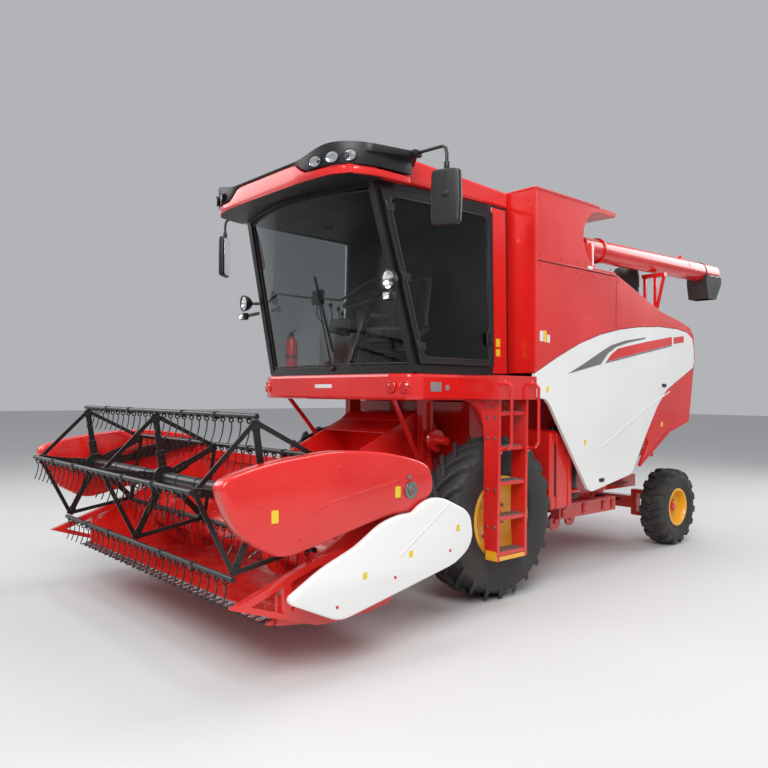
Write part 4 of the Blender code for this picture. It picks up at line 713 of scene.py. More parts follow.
class COMBINE_OT_wheels(bpy.types.Operator):
    """Lugged drive and steer tyres on dished rims"""

    bl_idname = "combine.wheels"
    bl_label = "Wheels"

    def execute(self, context):
        sizes = context.scene.harvester_sizes
        for side, word in SIDES:
            low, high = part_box(f"front_tyre_{word}")
            radius = (high.z - low.z) / 2
            centre = Vector(((low.x + high.x) / 2, 0, radius))
            body = f"front_wheel_{word}"
            tyre(f"front_tread_{word}", body, f"front_tyre_{word}", centre, radius, (high.x - low.x) / 2,
                 0.331, 0.134, sizes.front_lugs, 0.038, 0.36, 0.068, 0.042)
            rim(f"front_dish_{word}", body, f"front_rim_{word}", centre, side, FRONT_RIM, 8, 0.180, 0.014,
                0.095, 0.105, 0.004)
            low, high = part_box(f"rear_tyre_{word}")
            radius = (high.z - low.z) / 2
            centre = Vector(((low.x + high.x) / 2, (low.y + high.y) / 2 - AXLE_Y, radius))
            body = f"rear_wheel_{word}"
            tyre(f"rear_tread_{word}", body, f"rear_tyre_{word}", centre, radius, (high.x - low.x) / 2, 0.201,
                 0.114, sizes.rear_lugs, 0.024, 0.16, 0.094, 0.066)
            rim(f"rear_dish_{word}", body, f"rear_rim_{word}", centre, side, REAR_RIM, 6, 0.112, 0.011, 0.060,
                0.085, 0.010)
        return {"FINISHED"}


# ---------------------------------------------------------------- body panels
SWOOSH = [(0.862, 1.861), (1.088, 1.948), (1.373, 2.071), (1.572, 2.151), (1.832, 2.211), (2.228, 2.266),
          (2.228, 2.251), (1.886, 2.192), (1.674, 2.142), (1.522, 2.071), (1.398, 1.964)]
RED_STRIPE = [(1.492, 1.992), (1.572, 2.059), (1.701, 2.127), (1.886, 2.161), (2.277, 2.227), (2.785, 2.303),
              (2.786, 2.221), (2.107, 2.103)]
STRIPE_LINE = [(1.492, 1.989), (2.107, 2.100), (2.786, 2.218), (2.786, 2.204), (2.110, 2.086), (1.478, 1.975)]
RED_TAIL = [(2.824, 2.299), (3.051, 2.328), (3.058, 2.258), (2.824, 2.229)]
WHITE_INSET = [(0.440, 1.800), (0.720, 1.930), (1.060, 2.070), (1.400, 2.170), (1.750, 2.240), (2.100, 2.285),
               (2.500, 2.315), (2.900, 2.315), (3.100, 2.290), (3.200, 2.230), (3.220, 2.080), (2.640, 1.790),
               (2.420, 1.590), (2.170, 1.280), (1.940, 0.985), (1.270, 0.860), (0.660, 1.650)]


def layer(part, outline, side, surface_x, thick=0.0012):
    low, high = sorted((side * (surface_x - 0.0004), side * (surface_x + thick)))
    sheet(part, outline, "X", low, high)


def label(part, side, surface_x, y, z, width, height):
    outline = rounded([(y - width / 2, z - height / 2), (y + width / 2, z - height / 2),
                       (y + width / 2, z + height / 2), (y - width / 2, z + height / 2)], 0.008)
    layer(part, outline, side, surface_x)


class COMBINE_OT_side_panels(bpy.types.Operator):
    """Stripes, folds, latches and inner ribs of the hinged side panels"""

    bl_idname = "combine.side_panels"
    bl_label = "Side Panels"

    def execute(self, context):
        for side, word in SIDES:
            body = f"side_panel_{word}"
            grey = bmesh.new()
            layer(grey, SWOOSH, side, BODY_SIDE)
            show(grey, f"grey_swoosh_{word}", "stripe_grey", body)
            red = bmesh.new()
            layer(red, RED_STRIPE, side, BODY_SIDE)
            layer(red, RED_TAIL, side, BODY_SIDE)
            show(red, f"red_stripe_{word}", "red_paint", body)
            line = bmesh.new()
            layer(line, STRIPE_LINE, side, BODY_SIDE, 0.0016)
            show(line, f"stripe_line_{word}", "stripe_grey", body)
            fold = bmesh.new()
            for start, end in (((2.110, 1.489), (2.747, 1.718)), ((2.110, 1.489), (1.420, 1.180))):
                bar(fold, (side * BODY_SIDE, *start), (side * BODY_SIDE, *end), 0.012, 0.007, (1, 0, 0),
                    0.0025)
            inner = side * (BODY_SIDE - 0.030)
            for start, end in zip(WHITE_INSET, WHITE_INSET[1:] + WHITE_INSET[:1]):
                bar(fold, (inner - side * 0.012, *start), (inner - side * 0.012, *end), 0.026, 0.028,
                    (1, 0, 0), 0.003)
            for y, low, high in ((1.250, 0.900, 2.110), (1.900, 1.000, 2.250), (2.560, 1.750, 2.300)):
                bar(fold, (inner - side * 0.013, y, low), (inner - side * 0.013, y, high), 0.050, 0.026,
                    (1, 0, 0), 0.003)
            show(fold, f"panel_folds_{word}", "white_paint", body)
            latches = bmesh.new()
            for y, z in ((1.420, 0.870), (2.620, 1.780)):
                sheet(latches, rounded([(y - 0.045, z - 0.018), (y + 0.045, z - 0.018),
                                        (y + 0.045, z + 0.018), (y - 0.045, z + 0.018)], 0.016, 5), "X",
                      *sorted((side * BODY_SIDE, side * (BODY_SIDE + 0.005))), round_off=0.002)
                rod(latches, (side * BODY_SIDE, y, z), (side * (BODY_SIDE + 0.009), y, z), 0.011, 20,
                    round_off=0.002)
            for y in (0.900, 1.900, 2.900):
                z = 2.355 if y > 1.5 else 2.060
                rod(latches, (side * (BODY_SIDE - 0.044), y - 0.05, z - 0.05),
                    (side * (BODY_SIDE - 0.044), y + 0.05, z - 0.05), 0.012, 14, round_off=0.003)
            show(latches, f"panel_latches_{word}", "moulded_black", body)
            marks = bmesh.new()
            for y, z in ((1.139, 1.239), (2.573, 1.371), (0.560, 1.720)):
                label(marks, side, BODY_SIDE, y, z, 0.038, 0.050)
            show(marks, f"panel_labels_{word}", "label_yellow", body)
        return {"FINISHED"}


class COMBINE_OT_grain_tank(bpy.types.Operator):
    """Rim, joint bars, painted shade in the joint gaps, ribs, handle and labels of the grain tank"""

    bl_idname = "combine.grain_tank"
    bl_label = "Grain Tank"

    def execute(self, context):
        low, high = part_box("grain_tank")
        top, front, rear = high.z, low.y - AXLE_Y, high.y - AXLE_Y
        rim_part = bmesh.new()
        for side in (1, -1):
            x = side * (BODY_SIDE - 0.006)
            bar(rim_part, (x, front, top + 0.004), (x, rear - 0.29, top + 0.004), 0.030, 0.022,
                round_off=0.006)
            bar(rim_part, (side * BODY_SIDE, 0.385, 2.835), (side * BODY_SIDE, 1.645, 2.835), 0.016, 0.010,
                round_off=0.003)
            bar(rim_part, (side * BODY_SIDE, 0.392, 1.900), (side * BODY_SIDE, 0.392, 3.420), 0.014, 0.020,
                (0, 1, 0), round_off=0.004)
        bar(rim_part, (-BODY_SIDE, front + 0.010, top + 0.004), (BODY_SIDE, front + 0.010, top + 0.004),
            0.030, 0.022, round_off=0.006)
        bar(rim_part, (-BODY_SIDE, rear - 0.010, top + 0.004), (0.770, rear - 0.010, top + 0.004), 0.030,
            0.022, round_off=0.006)
        for y in (0.74, 1.06):
            bar(rim_part, (-1.218, y, 3.360), (1.218, y, 3.360), 0.040, 0.040, round_off=0.008)
        show(rim_part, "tank_rim_and_seams", "red_paint")
        # Painted shade: near-black strips along the tank's side joint, standing in for the shadow inside its
        # gap.
        tank_seam_shade = bmesh.new()
        for side in (1, -1):
            bar(tank_seam_shade, (side * (BODY_SIDE + 0.0002), 0.388, 2.824), (side * (BODY_SIDE + 0.0002), 1.642,
                    2.824), 0.002, 0.006)
        show(tank_seam_shade, "tank_seam_shadows", "seam_shadow")
        handle = bmesh.new()
        for side in (1, -1):
            sheet(handle, rounded([(1.170, 2.838), (1.250, 2.838), (1.250, 2.872), (1.170, 2.872)], 0.016, 5),
                  "X", *sorted((side * BODY_SIDE, side * (BODY_SIDE + 0.006))), round_off=0.002)
        show(handle, "tank_hand_holds", "label_white")
        bolts = bmesh.new()
        for side in (1, -1):
            for y in (0.440, 0.760, 1.000, 1.280, 1.560):
                for z in (2.790, 2.880):
                    bolt(bolts, (side * BODY_SIDE, y, z), (side, 0, 0), 0.008)
            for z in (2.05, 2.45, 3.05, 3.35):
                bolt(bolts, (side * 1.180, front, z), (0, -1, 0), 0.008)
        show(bolts, "tank_bolts", "red_paint")
        white = bmesh.new()
        label(white, 1, BODY_SIDE, 0.470, 2.178, 0.050, 0.090)
        label(white, 1, BODY_SIDE, 0.568, 2.160, 0.044, 0.070)
        show(white, "tank_white_labels", "label_white")
        yellow = bmesh.new()
        label(yellow, 1, BODY_SIDE, 0.520, 2.178, 0.040, 0.100)
        show(yellow, "tank_yellow_label", "label_yellow")
        lamp = bmesh.new()
        rod(lamp, (1.100, front + 0.001, 3.015), (1.100, front - 0.020, 3.015), 0.030, 24, round_off=0.006)
        show(lamp, "tank_front_lamp", "lamp_glass")
        screw = bmesh.new()
        rod(screw, (-1.1, 1.0, 2.10), (0.62, 1.0, 2.10), 0.045, 20)
        show(screw, "tank_floor_auger_tube", "dull_steel")
        return {"FINISHED"}


class COMBINE_OT_engine_hood(bpy.types.Operator):
    """Vents, painted shade in the panel joints, lamps and bolts of the rear hood"""

    bl_idname = "combine.engine_hood"
    bl_label = "Engine Hood"

    def execute(self, context):
        dark = bmesh.new()
        for index in range(9):
            z = 2.02 - index * 0.055
            y = 3.315 - (2.10 - z) * 0.190 if z < 2.10 else 3.315
            bar(dark, (-0.62, y + 0.002, z), (0.62, y + 0.002, z), 0.014, 0.020, round_off=0.003)
        for index in range(6):
            y = 1.90 + index * 0.085
            z = 2.850 - (y - 1.655) * 0.3314
            bar(dark, (-0.55, y, z + 0.003), (0.30, y, z + 0.003), 0.040, 0.010, (0, 0.33, 1), 0.003)
        show(dark, "hood_vents", "moulded_black")
        # Painted shade: near-black strips on the hood sides and top, standing in for the shadow inside the
        # panel joints.
        hood_seam_shade = bmesh.new()
        for side in (1, -1):
            x = side * (BODY_SIDE + 0.0002)
            bar(hood_seam_shade, (x, 2.140, 0.985), (x, 2.760, 1.330), 0.002, 0.006)
            bar(hood_seam_shade, (x, 1.668, 2.330), (x, 1.668, 2.840), 0.002, 0.006, (0, 1, 0))
            bar(hood_seam_shade, (side * 0.70, 1.70, 2.8358), (side * 0.70, 2.52, 2.5642), 0.008, 0.002)
            bar(hood_seam_shade, (side * 0.70, 2.54, 2.5584), (side * 0.70, 2.99, 2.4803), 0.008, 0.002)
        show(hood_seam_shade, "hood_seam_shadows", "seam_shadow")
        bolts = bmesh.new()
        for side in (1, -1):
            for step in range(5):
                y = 2.20 + step * 0.13
                bolt(bolts, (side * BODY_SIDE, y, 1.045 + (y - 2.20) * 0.555), (side, 0, 0), 0.008)
            for y, z in ((1.720, 2.780), (1.720, 2.560), (2.700, 2.440)):
                bolt(bolts, (side * BODY_SIDE, y, z), (side, 0, 0), 0.008)
        show(bolts, "hood_bolts", "red_paint")
        for name, material, height in (("tail_lamps", "lamp_red", 0.0), ("turn_lamps", "lamp_amber", -0.10),
                                       ("reversing_lamps", "lamp_glass", -0.20)):
            lamps = bmesh.new()
            for side in (1, -1):
                z = 1.95 + height
                y = 3.315 - (2.10 - z) * 0.190
                sheet(lamps, rounded([(side * 0.98 - 0.07, z - 0.040), (side * 0.98 + 0.07, z - 0.040),
                                      (side * 0.98 + 0.07, z + 0.040), (side * 0.98 - 0.07, z + 0.040)],
                                     0.015, 4), "Y", y - 0.004, y + 0.022, 0.005)
            show(lamps, name, material)
        frames = bmesh.new()
        for side in (1, -1):
            sheet(frames, rounded([(side * 0.98 - 0.09, 1.68), (side * 0.98 + 0.09, 1.68),
                                   (side * 0.98 + 0.09, 2.02), (side * 0.98 - 0.09, 2.02)], 0.02, 4), "Y",
                  3.250, 3.288, 0.006)
        show(frames, "tail_lamp_backs", "moulded_black")
        return {"FINISHED"}


# ---------------------------------------------------------------- unloading auger
class COMBINE_OT_unloading_auger(bpy.types.Operator):
    """Elbow, tube, bolted flanges and end cap of the grain unloading auger"""

    bl_idname = "combine.unloading_auger"
    bl_label = "Unloading Auger"

    def execute(self, context):
        start, end = Vector((1.050, 1.310, 3.090)), Vector((1.050, 4.168, 3.150))
        way = (end - start).normalized()
        tube = bmesh.new()
        turned(tube, [(0, -0.001), (0.104, -0.001), (0.110, 0.006), (0.110, 0.300), (0.126, 0.301),
                      (0.126, 0.323), (0.110, 0.324), (0.110, 2.080), (0.1125, 2.082), (0.1125, 2.106),
                      (0.110, 2.108), (0.110, 2.844), (0.105, 2.852), (0, 2.856)], start, way, 48)
        turned(tube, [(0, 2.876), (0.132, 2.876), (0.136, 2.880), (0.136, 2.894), (0.132, 2.898),
                      (0.120, 2.900), (0.120, 3.090), (0.112, 3.120), (0.090, 3.142), (0.050, 3.158),
                      (0, 3.162)], (1.050, 1.370, 0), (0, 0, 1), 48)
        box(tube, (1.020, 1.245, 3.060), (1.080, 1.320, 3.120), 0.008)
        bar(tube, start + way * 2.06 + Vector((0, 0, 0.100)), start + way * 2.06 + Vector((0, 0, 0.150)),
            0.040, 0.012, (0, 1, 0), 0.004)
        show(tube, "unloading_auger_tube", "red_paint", "unloading_auger", ("unloading_auger",),
             30)
        bolts = bmesh.new()
        up, across = Vector((0, -way.z, way.y)), Vector((1, 0, 0))
        for index in range(10):
            angle = 2 * pi * index / 10
            spoke = across * cos(angle) + up * sin(angle)
            bolt(bolts, start + way * 0.323 + spoke * 0.1185, way, 0.0065)
            flat = Vector((cos(angle), sin(angle), 0))
            bolt(bolts, Vector((1.050, 1.370, 2.8945)) + flat * 0.128, (0, 0, 1), 0.0065)
        turned(bolts, [(0, 0.0), (0.030, 0.0), (0.034, 0.006), (0.034, 0.014), (0.016, 0.020), (0, 0.022)],
               end, way, 24)
        show(bolts, "unloading_auger_bolts", "dull_steel", "unloading_auger")
        strap = bmesh.new()
        turned(strap, [(0.1118, -0.010), (0.1155, -0.010), (0.1155, 0.010), (0.1118, 0.010)], start
               + way * 2.50, way, 40, closed=True)
        for side in (1, -1):
            x = 1.050 + side * 0.1205
            bar(strap, (x, 3.830, 3.090), (x, 4.150, 3.098), 0.006, 0.022, round_off=0.002)
            for y in (3.87, 4.00, 4.12):
                bolt(strap, (x + side * 0.003, y, 3.094), (side, 0, 0), 0.006)
        show(strap, "spout_clamp", "black_paint", "unloading_auger")
        return {"FINISHED"}


# ---------------------------------------------------------------- header
COVER = [(-2.795, 1.165), (-2.765, 1.205), (-2.600, 1.255), (-2.430, 1.287), (-2.070, 1.325), (-1.860, 1.322),
         (-1.660, 1.305), (-1.480, 1.272), (-1.350, 1.240), (-1.250, 1.200), (-1.205, 1.130), (-1.200, 1.010),
         (-1.270, 0.970), (-1.320, 0.918), (-1.420, 0.896), (-1.560, 0.902), (-1.800, 0.858), (-2.090, 0.795),
         (-2.340, 0.742), (-2.440, 0.752), (-2.630, 0.860), (-2.720, 0.965), (-2.775, 1.090)]
SHIELD = [(-2.392, 0.528), (-2.160, 0.655), (-1.915, 0.745), (-1.840, 0.785), (-1.710, 0.865),
          (-1.550, 0.905), (-1.430, 0.905), (-1.370, 0.950), (-1.260, 0.990), (-1.150, 0.975),
          (-0.940, 0.880), (-0.890, 0.830), (-0.862, 0.690), (-0.910, 0.600), (-1.040, 0.522),
          (-1.980, 0.336), (-2.060, 0.340), (-2.385, 0.490)]
AUGER_CENTRE = Vector((0, -1.680, 0.560))


def flight(part, side, start, end, radius, pitch):
    """Helical ribbon welded round the table auger's tube."""
    ribbon = bmesh.new()
    low = ribbon.verts.new((side * start, AUGER_CENTRE.y, AUGER_CENTRE.z + 0.124))
    high = ribbon.verts.new((side * start, AUGER_CENTRE.y, AUGER_CENTRE.z + radius))
    line = ribbon.edges.new((low, high))
    steps = int((end - start) / pitch * 28)
    bmesh.ops.spin(ribbon, geom=[low, high, line], cent=(side * start, AUGER_CENTRE.y, AUGER_CENTRE.z),
                   axis=(1, 0, 0), dvec=(side * pitch / 28, 0, 0), angle=2 * pi * steps / 28, steps=steps)
    bmesh.ops.solidify(ribbon, geom=ribbon.faces[:], thickness=0.005)
    merge_in(part, ribbon)


class COMBINE_OT_table_auger(bpy.types.Operator):
    """Tube, opposed flights and retracting fingers of the table auger"""

    bl_idname = "combine.table_auger"
    bl_label = "Table Auger"

    def execute(self, context):
        sizes = context.scene.harvester_sizes
        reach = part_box("table_auger")[1].x
        part = bmesh.new()
        turned(part, [(0, -reach), (0.119, -reach), (0.125, -reach + 0.006), (0.125, reach - 0.006),
                      (0.119, reach), (0, reach)], AUGER_CENTRE, (1, 0, 0), 48)
        for side in (1, -1):
            flight(part, side, 0.42, reach - 0.020, sizes.flight_radius, 0.46)
        show(part, "table_auger_flights", "red_paint", "table_auger", ("table_auger",), 32)
        fingers = bmesh.new()
        for index in range(12):
            angle = 2 * pi * index / 12 * 5
            x = -0.36 + 0.065 * index
            spoke = Vector((0, cos(angle), sin(angle)))
            foot = AUGER_CENTRE + Vector((x, 0, 0))
            rod(fingers, foot + spoke * 0.120, foot + spoke * 0.215, 0.008, 12, round_off=0.002)
            rod(fingers, foot + spoke * 0.122, foot + spoke * 0.133, 0.020, 16, round_off=0.003)
        show(fingers, "table_auger_fingers", "dull_steel", "table_auger")
        return {"FINISHED"}


def tine_template(length):
    """Spring coil below the bar and a finger that bends slightly forward."""
    coil = [(0.007 * turn / 12 - 0.007, -0.013 * sin(2 * pi * turn / 9), -0.0300
             - 0.013 * cos(2 * pi * turn / 9)) for turn in range(19)]
    finger = [(0.005, 0.002 - 0.030 * share ** 2, -0.043 - (length - 0.043) * share)
              for share in (0.25, 0.55, 0.8, 1.0)]
    shape = bmesh.new()
    pipe(shape, coil + finger, 0.0042, 4)
    return as_mesh(shape)


class COMBINE_OT_reel(bpy.types.Operator):
    """Tine bars with spring tines, hub discs, clamps and bearings of the reel"""

    bl_idname = "combine.reel"
    bl_label = "Reel"

    def execute(self, context):
        sizes = context.scene.harvester_sizes
        hub_y, hub_z = -2.368, 1.049
        spiders = (-1.355, 0.0, 1.355)
        template = tine_template(sizes.tine_length)
        for index in range(5):
            low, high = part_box(f"tine_bar_{index + 1}")
            y, z = (low.y + high.y) / 2 - AXLE_Y, (low.z + high.z) / 2
            bar_part = bmesh.new()
            turned(bar_part, [(0, low.x), (0.0155, low.x), (0.017, low.x + 0.0015), (0.017, high.x - 0.0015),
                              (0.0155, high.x), (0, high.x)], (0, y, z), (1, 0, 0), 20)
            body = f"tine_bar_{index + 1}"
            for x in (-0.90, -0.45, 0.45, 0.90):
                box(bar_part, (x - 0.014, y - 0.0205, z - 0.030), (x + 0.014, y + 0.0205, z + 0.020), 0.004)
            show(bar_part, f"tine_bar_tube_{index + 1}", "black_paint", body, (f"tine_bar_{index + 1}",))
            tines = bmesh.new()
            places = [(-1.300 + 2.600 * step / (sizes.tines - 1)) for step in range(sizes.tines)]
            stamp(tines, template, [Matrix.Translation((x, y, z)) for x in places])
            for x in places:
                box(tines, (x - 0.011, y - 0.019, z - 0.022), (x + 0.009, y + 0.006, z - 0.006))
            show(tines, f"spring_tines_{index + 1}", "black_paint", body, sharp=50)
        bpy.data.meshes.remove(template)
        fittings = bmesh.new()
        for x in spiders:
            turned(fittings, [(0.0440, -0.014), (0.085, -0.014), (0.088, -0.011), (0.088, 0.011),
                              (0.085, 0.014), (0.0440, 0.014)], (x, hub_y, hub_z), (1, 0, 0), 40, closed=True)
            for index in range(5):
                angle = radians(9) + 2 * pi * index / 5
                out = Vector((0, -sin(angle), cos(angle)))
                across = Vector((0, -cos(angle), -sin(angle)))
                foot = Vector((x, hub_y, hub_z))
                bar(fittings, foot + out * 0.080, foot + out * 0.200, 0.012, 0.064, across, 0.003)
                bar(fittings, foot + out * 0.405, foot + out * 0.468, 0.014, 0.056, across, 0.003)
                for share in (0.115, 0.165, 0.425):
                    for way in (1, -1):
                        bolt(fittings, foot + out * share + Vector((way * 0.0065, 0, 0)), (way, 0, 0), 0.008)
        for side in (1, -1):
            for step in range(4):
                x = side * (0.27 + step * 0.27)
                turned(fittings, [(0.0440, -0.004), (0.0480, -0.004), (0.0480, 0.004), (0.0440, 0.004)],
                       (x, hub_y, hub_z), (1, 0, 0), 32, closed=True)
        show(fittings, "reel_fittings", "black_paint", "reel")
        arms = bmesh.new()
        for side in (1, -1):
            inner, outer = side * 1.393, side * 1.429
            turned(arms, [(0, 0.0), (0.060, 0.0), (0.064, 0.004), (0.064, 0.012), (0.040, 0.016),
                          (0.036, 0.026), (0.018, 0.030), (0, 0.030)], (outer, hub_y, hub_z), (side, 0, 0),
                   32)
            for index in range(4):
                angle = pi / 4 + pi * index / 2
                bolt(arms, (outer + side * 0.0118, hub_y + 0.052 * cos(angle), hub_z + 0.052 * sin(angle)),
                     (side, 0, 0), 0.006)
            for start, end in (((-2.310, 1.090), (-1.640, 1.218)), ((-2.300, 1.010), (-1.740, 1.106))):
                bar(arms, (outer, *start), (outer, *end), 0.010, 0.014, (1, 0, 0), 0.003)
            turned(arms, [(0, -0.020), (0.030, -0.020), (0.034, -0.016), (0.034, 0.016), (0.030, 0.020),
                          (0, 0.020)], (outer + side * 0.010, -1.420, 1.200), (side, 0, 0), 28)
            bar(arms, (inner + side * 0.018, -1.80, 1.190), (inner + side * 0.018, -1.50, 1.215), 0.030,
                0.020, round_off=0.004)
        show(arms, "reel_arm_bearings", "black_paint", "reel_arms")
        return {"FINISHED"}


class COMBINE_OT_header(bpy.types.Operator):
    """Knife, drive covers, crop shields and small parts of the grain header"""

    bl_idname = "combine.header"
    bl_label = "Header"

    def execute(self, context):
        sizes = context.scene.harvester_sizes
        guards = bmesh.new()
        finger = bmesh.new()
        rod(finger, (0, -2.392, 0.348), (0, -2.455, 0.352), 0.015, 10, 0.004)
        box(finger, (-0.014, -2.405, 0.334), (0.014, -2.365, 0.366), 0.004, 1)
        pointed = as_mesh(finger)
        places = [-1.42 + 2.84 * step / (sizes.guards - 1) for step in range(sizes.guards)]
        stamp(guards, pointed, [Matrix.Translation((x, 0, 0)) for x in places])
        bpy.data.meshes.remove(pointed)
        show(guards, "knife_guards", "black_paint", "header")
        knife = bmesh.new()
        half = 2.84 / (sizes.guards - 1) / 2
        teeth = []
        for x in places[:-1]:
            teeth += [(x + 0.002, -2.390), (x + half, -2.446), (x + 2 * half - 0.002, -2.390)]
        sheet(knife, [(-1.42, -2.372)] + teeth + [(1.42, -2.372)], "Z", 0.3582, 0.3612)
        bar(knife, (-1.44, -2.378, 0.364), (1.44, -2.378, 0.364), 0.016, 0.006)
        show(knife, "knife", "bright_steel", "header")
        for side, word in SIDES:
            cover = bmesh.new()
            low, high = sorted((side * 1.4853, side * COVER_SIDE))
            sheet(cover, rounded(COVER, 0.10, 2), "X", low, high, 0.020, 3)
            for points in (((-2.241, 0.961), (-2.073, 1.022)), ((-2.073, 1.022), (-1.510, 1.118))):
                bar(cover, (side * COVER_SIDE, *points[0]), (side * COVER_SIDE, *points[1]), 0.014, 0.008,
                    (1, 0, 0), 0.003)
            show(cover, f"reel_drive_shell_{word}", "red_paint", "header", (f"reel_drive_cover_{word}",))
            shield = bmesh.new()
            low, high = sorted((side * (SHIELD_SIDE - 0.050), side * SHIELD_SIDE))
            sheet(shield, rounded(SHIELD, 0.06, 2), "X", low, high, 0.014, 3)
            bar(shield, (side * SHIELD_SIDE, -1.105, 0.939), (side * SHIELD_SIDE, -1.561, 0.649), 0.012,
                0.007, (1, 0, 0), 0.0025)
            show(shield, f"crop_shield_shell_{word}", "white_paint", "header", (f"crop_shield_{word}",))
            dark = bmesh.new()
            rod(dark, (side * COVER_SIDE, -1.430, 1.131), (side * (COVER_SIDE + 0.010), -1.430, 1.131), 0.016,
                20, round_off=0.003)
            bar(dark, (side * (COVER_SIDE + 0.009), -1.442, 1.131), (side * (COVER_SIDE + 0.009), -1.418,
                    1.131), 0.006, 0.006, (1, 0, 0), 0.001)
            turned(dark, [(0, -0.002), (0.052, -0.002), (0.056, 0.002), (0.056, 0.010), (0.036, 0.016),
                          (0.034, 0.030), (0.020, 0.032), (0.018, 0.046), (0, 0.046)],
                   (side * COVER_SIDE, -1.415, 1.046), (side, 0, 0), 32)
            for index in range(4):
                angle = pi / 4 + pi * index / 2
                bolt(dark, (side * (COVER_SIDE + 0.0095), -1.415 + 0.046 * cos(angle), 1.046
                            + 0.046 * sin(angle)), (side, 0, 0), 0.006)
            show(dark, f"drive_bearing_{word}", "dull_steel", "header")
            mounts = bmesh.new()
            for y, z in ((-1.300, 0.930), (-1.520, 0.870)):
                rod(mounts, (side * (COVER_SIDE - 0.010), y, z), (side * (SHIELD_SIDE - 0.048), y, z), 0.018,
                    16)
            for y, z in ((-1.100, 0.620), (-1.600, 0.520), (-2.060, 0.420)):
                rod(mounts, (side * 1.480, y, z), (side * (SHIELD_SIDE - 0.048), y, z), 0.014, 16)
                bolt(mounts, (side * SHIELD_SIDE, y, z), (side, 0, 0), 0.008)
            for y, z in ((-2.560, 1.050), (-2.000, 1.230), (-1.330, 1.140), (-2.280, 0.830)):
                bolt(mounts, (side * COVER_SIDE, y, z), (side, 0, 0), 0.008)
            show(mounts, f"shield_mounts_{word}", "red_paint", "header")
            marks = bmesh.new()
            for y, z in ((-2.457, 0.982), (-1.527, 1.042)):
                label(marks, side, COVER_SIDE, y, z, 0.046, 0.072)
            for y, z in ((-1.849, 0.569), (-1.465, 0.648), (-1.024, 0.762)):
                label(marks, side, SHIELD_SIDE, y, z, 0.034, 0.044)
            show(marks, f"header_labels_{word}", "label_yellow", "header")
        ribs = bmesh.new()
        for x in (-1.30, -0.95, -0.62, 0.62, 0.95, 1.30):
            bar(ribs, (x, -1.354, 0.420), (x, -1.354, 1.060), 0.050, 0.040, (0, 1, 0), 0.006)
        bar(ribs, (-1.45, -1.350, 0.520), (1.45, -1.350, 0.520), 0.040, 0.060, round_off=0.006)
        for side in (1, -1):
            for y, z in ((-1.46, 0.98), (-1.62, 0.84), (-2.10, 0.50), (-2.28, 0.42)):
                bolt(ribs, (side * 1.460, y, z), (-side, 0, 0), 0.009)
            for y, z in ((-0.70, 1.13), (-0.95, 1.02), (-1.20, 0.90)):
                bar(ribs, (side * 0.440, y, z - 0.42 - 0.1 * (y + 0.7)), (side * 0.440, y, z), 0.030, 0.016,
                    (0, 1, 0), 0.004)
        show(ribs, "header_frame_ribs", "red_paint", "header")
        strip_part = bmesh.new()
        for z in (0.78, 0.93):
            bar(strip_part, (-0.409, -1.381, z), (-0.405, -1.381, z), 0.01, 0.01)
        bar(strip_part, (-1.44, -1.389, 0.720), (-0.43, -1.389, 0.720), 0.008, 0.040, round_off=0.002)
        bar(strip_part, (0.43, -1.389, 0.720), (1.44, -1.389, 0.720), 0.008, 0.040, round_off=0.002)
        show(strip_part, "crop_stripper_bars", "red_paint", "header")
        return {"FINISHED"}


# ---------------------------------------------------------------- cab
CAB_FLOOR = 1.830
CAB_HEAD = 3.300


def front_pillar(z):
    share = (z - CAB_FLOOR) / (CAB_HEAD - CAB_FLOOR)
    return Vector((0.985 - 0.120 * share, -0.775 - 0.365 * share, z))


def door_skin(along, up, out=0.0):
    """Point on the closed door's outside, from its hinge edge (0) to its rear edge (1)."""
    z = 1.906 + 1.318 * up
    pillar = front_pillar(z)
    rear_x = 0.985 - 0.030 * (z - CAB_FLOOR) / (CAB_HEAD - CAB_FLOOR)
    first_y, last_y = pillar.y + 0.016, 0.094
    return Vector((pillar.x + (rear_x - pillar.x) * along + 0.057 + out, first_y + (last_y - first_y) * along,
                   z))


def screen_point(across, z, ahead=0.0):
    """Point on the bowed windscreen; across runs from -1 to 1."""
    pillar = front_pillar(z)
    bow = 0.090 + 0.100 * (z - CAB_FLOOR) / (CAB_HEAD - CAB_FLOOR)
    return Vector(((pillar.x - 0.038) * across, pillar.y - bow * (1 - across ** 2) - ahead, z))


def visor_edge(side, turn, out):
    """Plan of the roof's rounded front corner; turn is 90 degrees at the middle and 0 at the side."""
    return Vector((side * (0.345 + (0.620 + out) * cos(turn) ** 0.556), -0.900
                   - (0.575 + out) * sin(turn) ** 0.556, 0))


def round_lamp(housing, lens, glow, place, way, width, height, depth):
    """Oval work lamp: shell behind, bright bowl, domed glass in front."""
    out = Vector(way).normalized()
    across = Vector((0, 0, 1)).cross(out).normalized()
    turn = Matrix((across, out.cross(across), out)).transposed().to_4x4()
    spin_back = Matrix.Translation(Vector(place)) @ turn
    for part, profile in ((housing, [(0, -depth), (0.55, -depth), (0.86, -depth * 0.6), (1.0, -0.004),
                                     (1.02, 0.006), (0.93, 0.008), (0.90, -0.004), (0.60, -depth * 0.7),
                                     (0, -depth * 0.8)]), (glow, [(0, -depth * 0.72), (0.35, -depth * 0.66),
            (0.70, -depth * 0.40), (0.89, -0.003)]), (lens, [(0, 0.012), (0.40, 0.010), (0.75, 0.005),
            (0.91, -0.001), (0.88, -0.004), (0.5, 0.004), (0, 0.006)])):
        shape = bmesh.new()
        points = [shape.verts.new((radius, 0, along)) for radius, along in profile]
        lines = [shape.edges.new(pair) for pair in zip(points, points[1:])]
        bmesh.ops.spin(shape, geom=points + lines, cent=(0, 0, 0), axis=(0, 0, 1), angle=2 * pi, steps=28,
                       use_merge=True)
        bmesh.ops.remove_doubles(shape, verts=shape.verts, dist=0.00001)
        bmesh.ops.scale(shape, vec=(width, height, 1), verts=shape.verts)
        bmesh.ops.transform(shape, matrix=spin_back, verts=shape.verts)
        merge_in(part, shape)


